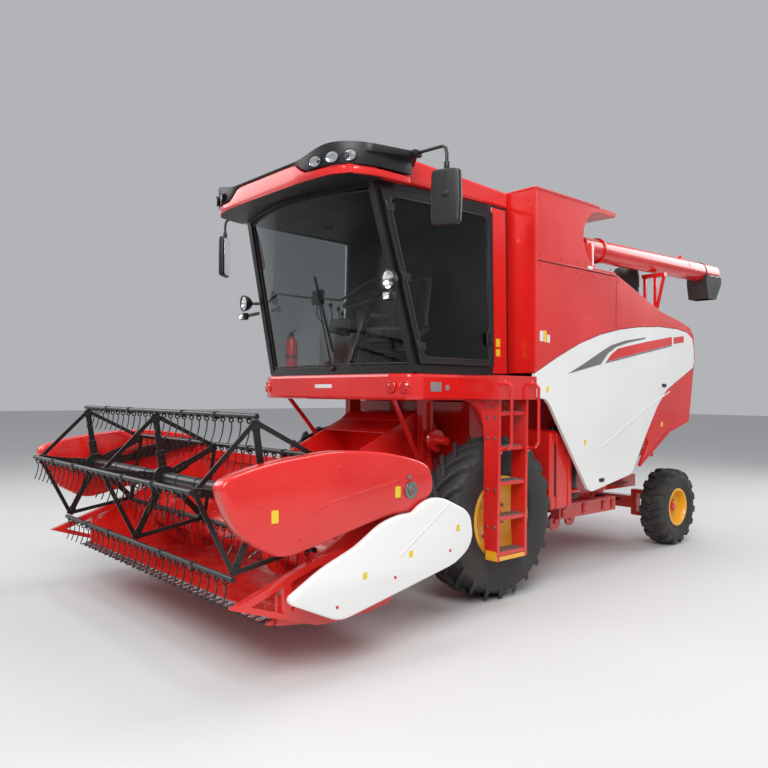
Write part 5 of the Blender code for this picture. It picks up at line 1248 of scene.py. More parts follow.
class COMBINE_OT_lamps(bpy.types.Operator):
    """Lamps in the roof visor, on the pillars and in the platform's nose"""

    bl_idname = "combine.lamps"
    bl_label = "Lamps"

    def execute(self, context):
        housing, lens, glow = bmesh.new(), bmesh.new(), bmesh.new()
        for side in (1, -1):
            for turn, z in ((74, 3.378), (58, 3.386), (41, 3.394)):
                edge = visor_edge(side, radians(turn), 0.084)
                ahead = visor_edge(side, radians(turn), 0.284) - edge
                way = (ahead.normalized() + Vector((side * 0.25, -0.9, -0.16))).normalized()
                round_lamp(housing, lens, glow, edge + Vector((0, 0, z)), way, 0.056, 0.044, 0.016)
            place = Vector((side * 1.025, -1.110, 2.520))
            round_lamp(housing, lens, glow, place, (side * 0.06, -0.99, -0.06), 0.070, 0.076, 0.070)
            rod(housing, place + Vector((0, 0.030, 0.0)), (side * 0.945, -0.990, 2.520), 0.014, 12)
            low = Vector((side * 1.030, -1.105, 2.395))
            box(housing, low - Vector((0.045, 0.028, 0.032)), low + Vector((0.045, 0.028, 0.032)), 0.010)
            bar(housing, low, (side * 0.945, -0.985, 2.430), 0.016, 0.030, round_off=0.004)
            sheet(lens, rounded([(low.x - 0.036, 2.370), (low.x + 0.036, 2.370), (low.x + 0.036, 2.420),
                                 (low.x - 0.036, 2.420)], 0.010), "Y", -1.139, -1.1325, 0.002)
            sheet(glow, rounded([(low.x - 0.034, 2.372), (low.x + 0.034, 2.372), (low.x + 0.034, 2.418),
                                 (low.x - 0.034, 2.418)], 0.010), "Y", -1.1334, -1.1326)
        show(housing, "lamp_shells", "moulded_black")
        show(lens, "lamp_lenses", "lamp_glass")
        show(glow, "lamp_bowls", "reflector")
        red, rings = bmesh.new(), bmesh.new()
        for side in (1, -1):
            for place, way in (((0.975, -0.880, 1.724), (0.55, -0.83, 0)),
                               ((0.860, -0.926, 1.724), (0.15, -0.99, 0))):
                foot = Vector((side * place[0], place[1], place[2]))
                out = Vector((side * way[0], way[1], way[2])).normalized()
                turned(rings, [(0.033, -0.004), (0.048, -0.004), (0.048, 0.006), (0.043, 0.010),
                               (0.037, 0.010), (0.033, 0.002)], foot, out, 32, closed=True)
                turned(red, [(0, 0.014), (0.020, 0.012), (0.036, 0.004), (0.036, -0.003), (0, -0.003)], foot,
                       out, 32)
        show(rings, "platform_lamp_rings", "red_paint")
        show(red, "platform_lamps", "lamp_red")
        return {"FINISHED"}


def visor_height(x, low, high, first, last):
    share = min(1.0, max(0.0, (abs(x) - first) / (last - first)))
    return low + (high - low) * (share * share * (3 - 2 * share))


def front_band(part, outer_out, inner_out, top_at, low_at, round_off):
    """Band that follows the rounded front of the roof, between two heights that change with x."""
    band = bmesh.new()
    bmesh.ops.create_cube(band, size=2.0)
    lengthwise = [edge for edge in band.edges if abs(edge.verts[0].co.x - edge.verts[1].co.x) > 1]
    bmesh.ops.subdivide_edges(band, edges=lengthwise, cuts=79, use_grid_fill=True)
    for vert in band.verts:
        share, side = abs(vert.co.x), 1 if vert.co.x >= 0 else -1
        outer, upper = vert.co.y < 0, vert.co.z > 0
        out = outer_out if outer else inner_out
        if share < 0.24:
            plan = Vector((side * 0.345 * share / 0.24, -1.475 - out, 0))
        else:
            plan = visor_edge(side, pi / 2 * (1 - (share - 0.24) / 0.76) ** 1.1, out)
        height = top_at(plan.x) - (0.014 if outer else 0.0) if upper else low_at(plan.x)
        vert.co = (plan.x, plan.y + (0.010 if outer and not upper else 0.0), height)
    bmesh.ops.recalc_face_normals(band, faces=band.faces)
    soften(band, round_off, 2, sharp_edges(band, radians(40)))
    merge_in(part, band)


class COMBINE_OT_visor(bpy.types.Operator):
    """Black visor with its lamp pods and mirror wings, over the roof's red brow"""

    bl_idname = "combine.visor"
    bl_label = "Visor"

    def execute(self, context):
        part = bmesh.new()
        front_band(part, 0.078, 0.004, lambda x: visor_height(x, 3.447, 3.513, 0.44, 0.84),
                   lambda x: visor_height(x, 3.4215, 3.3375, 0.41, 0.57), 0.004)
        brow = bmesh.new()
        front_band(brow, 0.066, -0.010, lambda x: visor_height(x, 3.4205, 3.3365, 0.41, 0.57),
                   lambda x: 3.2712, 0.008)
        show(brow, "roof_brow_skin", "red_paint", sharp=30)
        for side in (1, -1):
            wing = bmesh.new()
            sheet(wing, [(side * x, y) for x, y in rounded([(0.972, -1.330), (1.030, -1.300), (1.130, -0.970),
                    (1.130, -0.920), (0.972, -0.800)], 0.03, 3)], "Z", 3.425, 3.500, 0.010)
            for vert in wing.verts:
                share = (abs(vert.co.x) - 0.972) / 0.158
                vert.co.z = 3.462 + (vert.co.z - 3.4625) * (1 - 0.45 * share)
            merge_in(part, wing)
        show(part, "roof_visor", "moulded_black", "chassis", ("cab_visor",), 30)
        return {"FINISHED"}


class COMBINE_OT_cab_outside(bpy.types.Operator):
    """Seals, wiper, door handle, hinges, cover strips and labels on the cab"""

    bl_idname = "combine.cab_outside"
    bl_label = "Cab Outside"

    def execute(self, context):
        seals = bmesh.new()
        for up in (1.912, 3.218):
            line = [screen_point(-1 + step / 8, up, 0.008) for step in range(17)]
            pipe(seals, line, 0.009, 8)
        for side in (1, -1):
            pipe(seals, [screen_point(side * 0.995, 1.91 + 1.30 * step / 6, 0.006) for step in range(7)],
                 0.009, 8)
        show(seals, "windscreen_seal", "soft_rubber")
        screen = bmesh.new()
        bmesh.ops.create_grid(screen, x_segments=32, y_segments=8, size=1.0)
        for vert in screen.verts:
            vert.co = screen_point(vert.co.x, 2.565 + 0.659 * vert.co.y)
        bmesh.ops.recalc_face_normals(screen, faces=screen.faces)
        bmesh.ops.solidify(screen, geom=screen.faces[:], thickness=0.006)
        show(screen, "bowed_windscreen", "tinted_glass", "chassis", ("windscreen",))
        soffit = bmesh.new()
        front = [(1.000, -1.150), (0.990, -1.230), (0.930, -1.400), (0.810, -1.475), (0.610, -1.505),
                 (0.390, -1.520)]
        back = [tuple(screen_point(-1 + step / 8, 3.265, 0.027).xy) for step in range(17)]
        sheet(soffit, front + [(-x, y) for x, y in front[::-1]] + back, "Z", 3.2655, 3.2716)
        show(soffit, "roof_soffit", "moulded_black")
        wiper = bmesh.new()
        pivot, tip = screen_point(0.10, 1.900, 0.020), screen_point(0.155, 2.560, 0.026)
        turned(wiper, [(0, 0.0), (0.026, 0.0), (0.026, 0.014), (0.018, 0.022), (0, 0.024)], pivot
               + Vector((0, 0.006, -0.014)), (0, -1, 0), 24)
        middle = screen_point(0.130, 2.250, 0.034)
        bar(wiper, pivot + Vector((0, -0.012, 0)), middle, 0.018, 0.010, (0, 1, 0), 0.003)
        bar(wiper, middle, tip, 0.012, 0.008, (0, 1, 0), 0.002)
        blade = [screen_point(0.150, 2.020 + 0.620 * step / 6, 0.013) for step in range(7)]
        for first, second in zip(blade, blade[1:]):
            bar(wiper, first, second, 0.008, 0.018, (0, 1, 0))
        show(wiper, "windscreen_wiper", "moulded_black")
        handle = bmesh.new()
        grip = door_skin(0.925, 0.175)
        box(handle, grip + Vector((-0.006, -0.032, -0.060)), grip + Vector((0.012, 0.032, 0.060)), 0.008, 3)
        pipe(handle, [grip + Vector((0.006, -0.008, 0.052)), grip + Vector((0.034, -0.008, 0.040)), grip
                      + Vector((0.036, -0.008, -0.030)), grip + Vector((0.008, -0.008, -0.046))], 0.007, 10)
        rod(handle, grip + Vector((0.010, 0.014, -0.035)), grip + Vector((0.018, 0.014, -0.035)), 0.011, 18,
            round_off=0.002)
        for up in (0.10, 0.50, 0.90):
            edge = door_skin(0.012, up)
            along = (door_skin(0.012, up + 0.05) - edge).normalized()
            rod(handle, edge + along * -0.045 + Vector((0.006, 0, 0)), edge + along * 0.045
                + Vector((0.006, 0, 0)), 0.011, 14, round_off=0.002)
            bar(handle, edge + Vector((0.003, 0, 0)), edge + Vector((0.004, 0.085, 0)), 0.008, 0.060, along,
                0.003)
            for reach in (0.04, 0.07):
                bolt(handle, edge + Vector((0.006, reach, 0)), (1, 0, 0), 0.006)
        show(handle, "door_handle_and_hinges", "moulded_black", "cab_door")
        door = bmesh.new()
        outline = [(0.052, 0.036), (0.948, 0.036), (0.948, 0.964), (0.052, 0.964)]
        loop = [door_skin(along, up, 0.0005) for along, up in rounded(outline, 0.05, 4)]
        pipe(door, loop, 0.006, 6, closed=True)
        pipe(door, [door_skin(0.20, 0.22, -0.030), door_skin(0.20, 0.23, -0.075),
                    door_skin(0.24, 0.45, -0.080), door_skin(0.24, 0.46, -0.030)], 0.011, 10)
        show(door, "door_seal_and_grab_rail", "soft_rubber", "cab_door")
        post = bmesh.new()
        for side in (1, -1):
            x = side * 1.002
            bar(post, (x, 0.215, 1.850), (x - side * 0.030, 0.215, 3.280), 0.010, 0.190, (0, 1, 0), 0.004)
        show(post, "rear_post_covers", "red_paint")
        marks = bmesh.new()
        for z, height in ((2.115, 0.070), (2.030, 0.060)):
            lean = 1.0075 - 0.030 * (z - 1.85) / 1.43
            layer(marks, rounded([(0.160, z - height / 2), (0.215, z - height / 2), (0.215, z + height / 2),
                                  (0.160, z + height / 2)], 0.006), 1, lean)
        show(marks, "post_labels", "label_yellow")
        roof = bmesh.new()
        for side in (1, -1):
            bar(roof, (side * 0.780, 0.300, 3.4505), (side * 0.780, -0.820, 3.4995), 0.016, 0.012,
                round_off=0.004)
            bar(roof, (side * 0.500, 0.300, 3.4505), (side * 0.500, -0.500, 3.486), 0.016, 0.012,
                round_off=0.004)
        box(roof, (-0.260, -0.300, 3.462), (0.260, 0.220, 3.500), 0.012)
        show(roof, "roof_ribs_and_hatch", "red_paint")
        nose = bmesh.new()
        sheet(nose, rounded([(-0.120, 1.716), (0.120, 1.716), (0.120, 1.748), (-0.120, 1.748)], 0.012), "Y",
              -0.9325, -0.9295)
        show(nose, "platform_blank_strip", "label_white")
        small = bmesh.new()
        layer(small, rounded([(-0.680, 1.690), (-0.560, 1.690), (-0.560, 1.765), (-0.680, 1.765)], 0.008), 1,
              1.050)
        layer(small, arc((-0.490, 1.722), 0.024, 0, 2 * pi * 23 / 24, 23), 1, 1.050)
        show(small, "platform_blank_plates", "trim_grey")
        return {"FINISHED"}


class COMBINE_OT_mirrors(bpy.types.Operator):
    """Mirror cases turned to the driver, with their glass and arms"""

    bl_idname = "combine.mirrors"
    bl_label = "Mirrors"

    def execute(self, context):
        for side, word in SIDES:
            low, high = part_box(f"mirror_{word}")
            centre = Vector((side * 1.540, -1.030, 3.040))
            turn = Matrix.Translation(centre) @ Matrix.Rotation(side * radians(26 if side > 0 else 46), 4,
                    "Z")
            case = bmesh.new()
            body = bmesh.new()
            sheet(body, rounded([(-0.105, -0.200), (0.105, -0.200), (0.113, 0.0), (0.105, 0.200),
                                 (-0.105, 0.200), (-0.113, 0.0)], 0.045, 5), "Y", -0.036, 0.024, 0.022, 4)
            bar(body, (0, -0.037, -0.165), (0, -0.037, 0.165), 0.010, 0.006, (0, 1, 0), 0.0025)
            turned(body, [(0, 0.0), (0.026, 0.0), (0.024, 0.008), (0.014, 0.014), (0.014, 0.020), (0, 0.021)],
                   (0, -0.036, 0.020), (0, -1, 0), 24)
            bmesh.ops.transform(body, matrix=turn, verts=body.verts)
            merge_in(case, body)
            pipe(case, [(side * 1.1306, -0.945, 3.460), (side * 1.210, -0.945, 3.460),
                        (side * 1.420, -0.998, 3.428), (side * 1.495, -1.018, 3.414),
                        (side * 1.525, -1.030, 3.395), (side * 1.540, -1.030, 3.350),
                        (side * 1.540, -1.030, 3.180)], 0.012, 12)
            box(case, (side * 1.150 - 0.022, -0.985, 3.436), (side * 1.150 + 0.022, -0.905, 3.484), 0.006)
            rod(case, (side * 1.540, -1.030, 3.236), (side * 1.540, -1.030, 3.290), 0.020, 18,
                round_off=0.004)
            show(case, f"mirror_case_{word}", "moulded_black", "chassis", (f"mirror_{word}",))
            glass = bmesh.new()
            sheet(glass, rounded([(-0.090, -0.184), (0.090, -0.184), (0.098, 0.0), (0.090, 0.184),
                                  (-0.090, 0.184), (-0.098, 0.0)], 0.035, 5), "Y", 0.0235, 0.0265, 0.001)
            bmesh.ops.transform(glass, matrix=turn, verts=glass.verts)
            show(glass, f"mirror_glass_{word}", "mirror_silver")
        return {"FINISHED"}


# ---------------------------------------------------------------- inside the cab
def cushion(name, outline, thickness, place, cap):
    """Padded piece swollen from a slightly smaller form by cloth under pressure."""
    form = bmesh.new()
    sheet(form, outline, "Z", -thickness / 2, thickness / 2, 0.018, 3)
    bmesh.ops.transform(form, matrix=place, verts=form.verts)
    bmesh.ops.translate(form, vec=(0, AXLE_Y, 0), verts=form.verts)
    mesh = bpy.data.meshes.new(name)
    form.to_mesh(mesh)
    form.free()
    mesh.materials.append(MATERIALS["seat_cloth"])
    piece = bpy.data.objects.new(name, mesh)
    bpy.context.scene.collection.objects.link(piece)
    bpy.context.view_layer.objects.active = piece
    dense = piece.modifiers.new("even_mesh", "REMESH")
    dense.mode = "VOXEL"
    dense.voxel_size = 0.008
    bpy.ops.object.modifier_apply(modifier=dense.name)
    start = [vert.co.copy() for vert in mesh.vertices]
    swell = piece.modifiers.new("swell", "CLOTH")
    swell.settings.use_pressure = True
    swell.settings.uniform_pressure_force = 4.0
    swell.settings.effector_weights.gravity = 0.0
    for frame in range(1, 21):
        bpy.context.scene.frame_set(frame)
    bpy.ops.object.modifier_apply(modifier=swell.name)
    bpy.context.scene.frame_set(1)
    mesh = piece.data
    for vert, before in zip(mesh.vertices, start):
        move = vert.co - before
        if move.length > cap:
            vert.co = before + move.normalized() * cap
    finer = piece.modifiers.new("finer", "SUBSURF")
    finer.levels = finer.render_levels = 1
    bpy.ops.object.modifier_apply(modifier=finer.name)
    piece.data.shade_smooth()
    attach(piece, "chassis")
    return piece


def pad_outline(width, depth, waist=0.0):
    half, reach = width / 2, depth / 2
    return rounded([(-half, -reach), (0, -reach - waist), (half, -reach), (half - waist, 0), (half, reach),
                    (0, reach + waist * 0.5), (-half, reach), (-half + waist, 0)], 0.07, 4)


class COMBINE_OT_seat(bpy.types.Operator):
    """Driver's seat: swollen cushions, piping, shell, armrest and pedestal"""

    bl_idname = "combine.seat"
    bl_label = "Seat"

    def execute(self, context):
        lean = Matrix.Rotation(radians(82.3), 4, "X")
        squab = cushion("seat_cushion", pad_outline(0.46, 0.46, 0.010), 0.070,
                        Matrix.Translation((0, -0.185, 2.222)), 0.022)
        backrest = cushion("back_cushion", pad_outline(0.42, 0.50, 0.008), 0.060,
                           Matrix.Translation((0, 0.078, 2.520)) @ lean, 0.020)
        headrest = cushion("headrest", pad_outline(0.26, 0.14, 0.004), 0.055,
                           Matrix.Translation((0, 0.128, 2.850)) @ lean, 0.016)
        shell = bmesh.new()
        box(shell, (-0.185, -0.270, CAB_FLOOR + 0.001), (0.185, 0.055, 1.960), 0.020)
        for index in range(5):
            z = 1.975 + index * 0.030
            grow = 0.006 if index % 2 else -0.006
            box(shell, (-0.165 - grow, -0.245 - grow, z - 0.016), (0.165 + grow, 0.030 + grow, z + 0.016),
                0.010)
        box(shell, (-0.225, -0.390, 2.125), (0.225, 0.075, 2.182), 0.020, 3)
        show(shell, "seat_pedestal", "moulded_black", "chassis", ("seat",))
        back = bmesh.new()
        bar(back, (0, 0.112, 2.240), (0, 0.196, 2.780), 0.400, 0.035, (0, 1, 0), 0.014)
        for side in (1, -1):
            rod(back, (side * 0.060, 0.160, 2.740), (side * 0.060, 0.150, 2.830), 0.007, 10)
            bar(back, (side * 0.238, -0.020, 2.215), (side * 0.238, 0.120, 2.300), 0.020, 0.060,
                round_off=0.008)
        box(back, (-0.300, -0.280, 2.395), (-0.245, 0.060, 2.440), 0.018, 3)
        show(back, "seat_back_shell", "trim_grey")
        piping = bmesh.new()
        loop = [Vector((x, y - 0.185, 2.222 + 0.028)) for x, y in pad_outline(0.468, 0.468, 0.010)]
        pipe(piping, loop, 0.004, 6, closed=True)
        show(piping, "seat_piping", "trim_grey")
        return {"FINISHED"}


class COMBINE_OT_controls(bpy.types.Operator):
    """Steering wheel, column, console, levers, pedals, monitor and extinguisher"""

    bl_idname = "combine.controls"
    bl_label = "Controls"

    def execute(self, context):
        centre = Vector((0.0, -0.500, 2.520))
        lean = radians(28)
        up = Vector((0, -sin(lean), cos(lean)))
        wheel = bmesh.new()
        turned(wheel, [(0.176 + 0.014 * cos(2 * pi * step / 12), 0.014 * sin(2 * pi * step / 12))
                       for step in range(12)], centre, up, 56, closed=True)
        turned(wheel, [(0, 0.014), (0.030, 0.012), (0.044, 0.004), (0.048, -0.010), (0.036, -0.030),
                       (0, -0.032)], centre, up, 32)
        ahead = Vector((0, cos(lean), sin(lean)))
        for turn in (0, 120, 240):
            way = Vector((1, 0, 0)) * cos(radians(turn + 30)) + ahead * sin(radians(turn + 30))
            bar(wheel, centre + way * 0.040, centre + way * 0.170, 0.030, 0.009, up, 0.003)
        rod(wheel, centre - up * 0.010, centre - up * 0.120, 0.026, 20)
        box(wheel, (-0.060, -0.520, 2.300), (0.060, -0.440, 2.420), 0.018, 3)
        foot = Vector((0, -0.680, CAB_FLOOR + 0.020))
        bar(wheel, centre - up * 0.110, foot, 0.090, 0.090, (0, 1, 0), 0.020)
        show(wheel, "steering_wheel_and_column", "moulded_black", "chassis", ("controls",))
        console = bmesh.new()
        sheet(console, rounded([(-0.560, CAB_FLOOR + 0.001), (0.020, CAB_FLOOR + 0.001), (0.020, 2.240),
                                (-0.100, 2.300), (-0.520, 2.330), (-0.560, 2.220)], 0.03, 3), "X", -0.560,
              -0.335, 0.012)
        show(console, "side_console", "trim_grey")
        fittings = bmesh.new()
        for x, y, height in ((-0.480, -0.460, 0.190), (-0.400, -0.430, 0.150), (-0.480, -0.320, 0.120),
                             (-0.400, -0.290, 0.120), (-0.450, -0.150, 0.090)):
            top = Vector((x - 0.012, y - 0.020, 2.320 + height))
            turned(fittings, [(0, 0), (0.026, 0), (0.020, 0.014), (0.012, 0.018), (0.014, 0.022),
                              (0.007, 0.030), (0, 0.031)], (x, y, 2.308), (0, 0, 1), 20)
            rod(fittings, (x, y, 2.320), top, 0.006, 10)
            ball(fittings, top, 0.019, (1, 1, 1.35))
        for index in range(6):
            box(fittings, (-0.535 + 0.032 * index, -0.090, 2.294), (-0.515 + 0.032 * index, -0.060, 2.312),
                0.004)
        for x in (-0.180, 0.180, 0.300):
            bar(fittings, (x, -0.760, 1.960), (x, -0.690, 1.860), 0.070, 0.012, (0, 1, 0), 0.004)
            rod(fittings, (x, -0.775, 1.955), (x, -0.740, CAB_FLOOR + 0.004), 0.009, 10)
        box(fittings, (-0.140, -0.770, 2.200), (0.140, -0.660, 2.330), 0.022, 3)
        bar(fittings, (0, -0.700, 2.180), (0, -0.690, 2.240), 0.10, 0.06, (0, 1, 0), 0.01)
        box(fittings, (-0.700, -0.560, 2.520), (-0.520, -0.530, 2.660), 0.012, 3)
        pipe(fittings, [(-0.610, -0.545, 2.530), (-0.610, -0.560, 2.420), (-0.540, -0.500, 2.310)], 0.009, 10)
        show(fittings, "levers_pedals_and_monitor", "moulded_black")
        screen = bmesh.new()
        box(screen, (-0.690, -0.531, 2.532), (-0.530, -0.528, 2.648))
        box(screen, (-0.110, -0.664, 2.220), (0.110, -0.657, 2.310), 0.003)
        show(screen, "monitor_and_gauges", "tinted_glass")
        mat = bmesh.new()
        sheet(mat, rounded([(-0.90, 0.26), (-0.90, -0.68), (0.90, -0.68), (0.90, 0.26)], 0.05), "Z", CAB_FLOOR
              + 0.0006, CAB_FLOOR + 0.008)
        show(mat, "floor_mat", "floor_mat")
        bottle = bmesh.new()
        turned(bottle, [(0, 0), (0.048, 0), (0.054, 0.006), (0.055, 0.290), (0.045, 0.325), (0.020, 0.345),
                        (0.018, 0.360), (0, 0.361)], (-0.830, -0.690, CAB_FLOOR + 0.030), (0, 0, 1), 32)
        show(bottle, "extinguisher", "red_paint")
        cap = bmesh.new()
        turned(cap, [(0, 0), (0.024, 0), (0.024, 0.030), (0.010, 0.040), (0, 0.040)],
               (-0.830, -0.690, CAB_FLOOR + 0.388), (0, 0, 1), 20)
        bar(cap, (-0.830, -0.690, 2.252), (-0.760, -0.690, 2.280), 0.016, 0.008, round_off=0.002)
        pipe(cap, [(-0.850, -0.690, 2.230), (-0.900, -0.690, 2.220), (-0.905, -0.690, 2.120),
                   (-0.892, -0.690, 2.010)], 0.007, 8)
        turned(cap, [(0.0553, -0.012), (0.0585, -0.012), (0.0585, 0.012), (0.0553, 0.012)],
               (-0.830, -0.690, 2.020), (0, 0, 1), 32, closed=True)
        for x in (-0.875, -0.830, -0.785):
            rod(cap, (x, -0.690, CAB_FLOOR + 0.004), (x, -0.690, CAB_FLOOR + 0.031), 0.006, 8)
        show(cap, "extinguisher_head", "moulded_black")
        rail = bmesh.new()
        pipe(rail, [(-0.880, -0.905, 2.560), (-0.660, -0.960, 2.590), (-0.200, -0.985, 2.510),
                    (0.309, -0.985, 2.440), (0.620, -0.960, 2.560), (0.860, -0.900, 2.600)], 0.010, 8)
        box(rail, (-0.860, -0.900, 3.232), (0.860, 0.280, 3.292), 0.020)
        behind_glass = [tuple(screen_point(-0.93 + 0.1163 * step, 3.25, -0.030).xy) for step in range(17)]
        sheet(rail, behind_glass + [(0.880, -0.860), (-0.880, -0.860)], "Z", 3.2345, 3.2700)
        for x in (-0.45, 0.45):
            turned(rail, [(0, 0), (0.055, 0), (0.060, -0.006), (0.050, -0.014), (0, -0.016)],
                   (x, -0.560, 3.234), (0, 0, 1), 24)
        show(rail, "headliner_and_grab_rail", "moulded_black")
        return {"FINISHED"}


# ---------------------------------------------------------------- ladder and chassis
class COMBINE_OT_ladder(bpy.types.Operator):
    """Grip plates, bolts, gussets and toe strip of the access ladder"""

    bl_idname = "combine.ladder"
    bl_label = "Ladder"

    def execute(self, context):
        treads = bmesh.new()
        for index in range(5):
            z = 0.420 + 0.272 * index + 0.0276
            box(treads, (1.286, -0.290, z), (1.404, 0.040, z + 0.005), 0.0015, 1)
            for row in range(4):
                for column in range(9):
                    rod(treads, (1.300 + 0.030 * row, -0.272 + 0.037 * column, z + 0.004),
                        (1.300 + 0.030 * row, -0.272 + 0.037 * column, z + 0.0085), 0.007, 6)
        show(treads, "ladder_treads", "dull_steel")
        bolts = bmesh.new()
        for y, way in ((-0.310, -1), (0.060, 1)):
            for z in (1.570, 1.490, 1.330, 0.930, 0.640):
                for x in (1.310, 1.390):
                    bolt(bolts, (x, y, z), (0, way, 0), 0.009)
        for x in (1.110, 1.290, 1.420):
            bolt(bolts, (x, -0.310, 1.6318), (0, -1, 0), 0.009)
        show(bolts, "ladder_bolts", "dull_steel")
        orange = bmesh.new()
        box(orange, (1.2965, -0.3115, 0.381), (1.4145, 0.0615, 0.414), 0.002, 1)
        for y, low, high in ((-0.3118, 0.395, 0.455), (0.0602, 0.395, 0.455)):
            sheet(orange, rounded([(1.300, low), (1.410, low), (1.410, high), (1.300, high)], 0.01), "Y", y, y
                  + 0.0016)
        show(orange, "ladder_toe_strip", "rim_paint")
        gusset = bmesh.new()
        curve = [(1.0505, 1.6190), (1.130, 1.600), (1.190, 1.560), (1.235, 1.500), (1.262, 1.420),
                 (1.274, 1.300)]
        for y in (-0.310, 0.030):
            sheet(gusset, [(1.0505, 1.6316), (1.2755, 1.6316), (1.2755, 1.300)] + curve[::-1], "Y", y + 0.002,
                  y + 0.028, 0.004)
        for y in (-0.295, 0.045):
            for z in (1.755, 1.235):
                x = 1.4606 if z > 1.5 else 1.4256
                turned(gusset, [(0, 0), (0.028, 0), (0.028, 0.005), (0.020, 0.008), (0, 0.008)], (x, y, z),
                       (1, 0, 0), 24)
        show(gusset, "ladder_gussets_and_rail_feet", "red_paint")
        return {"FINISHED"}


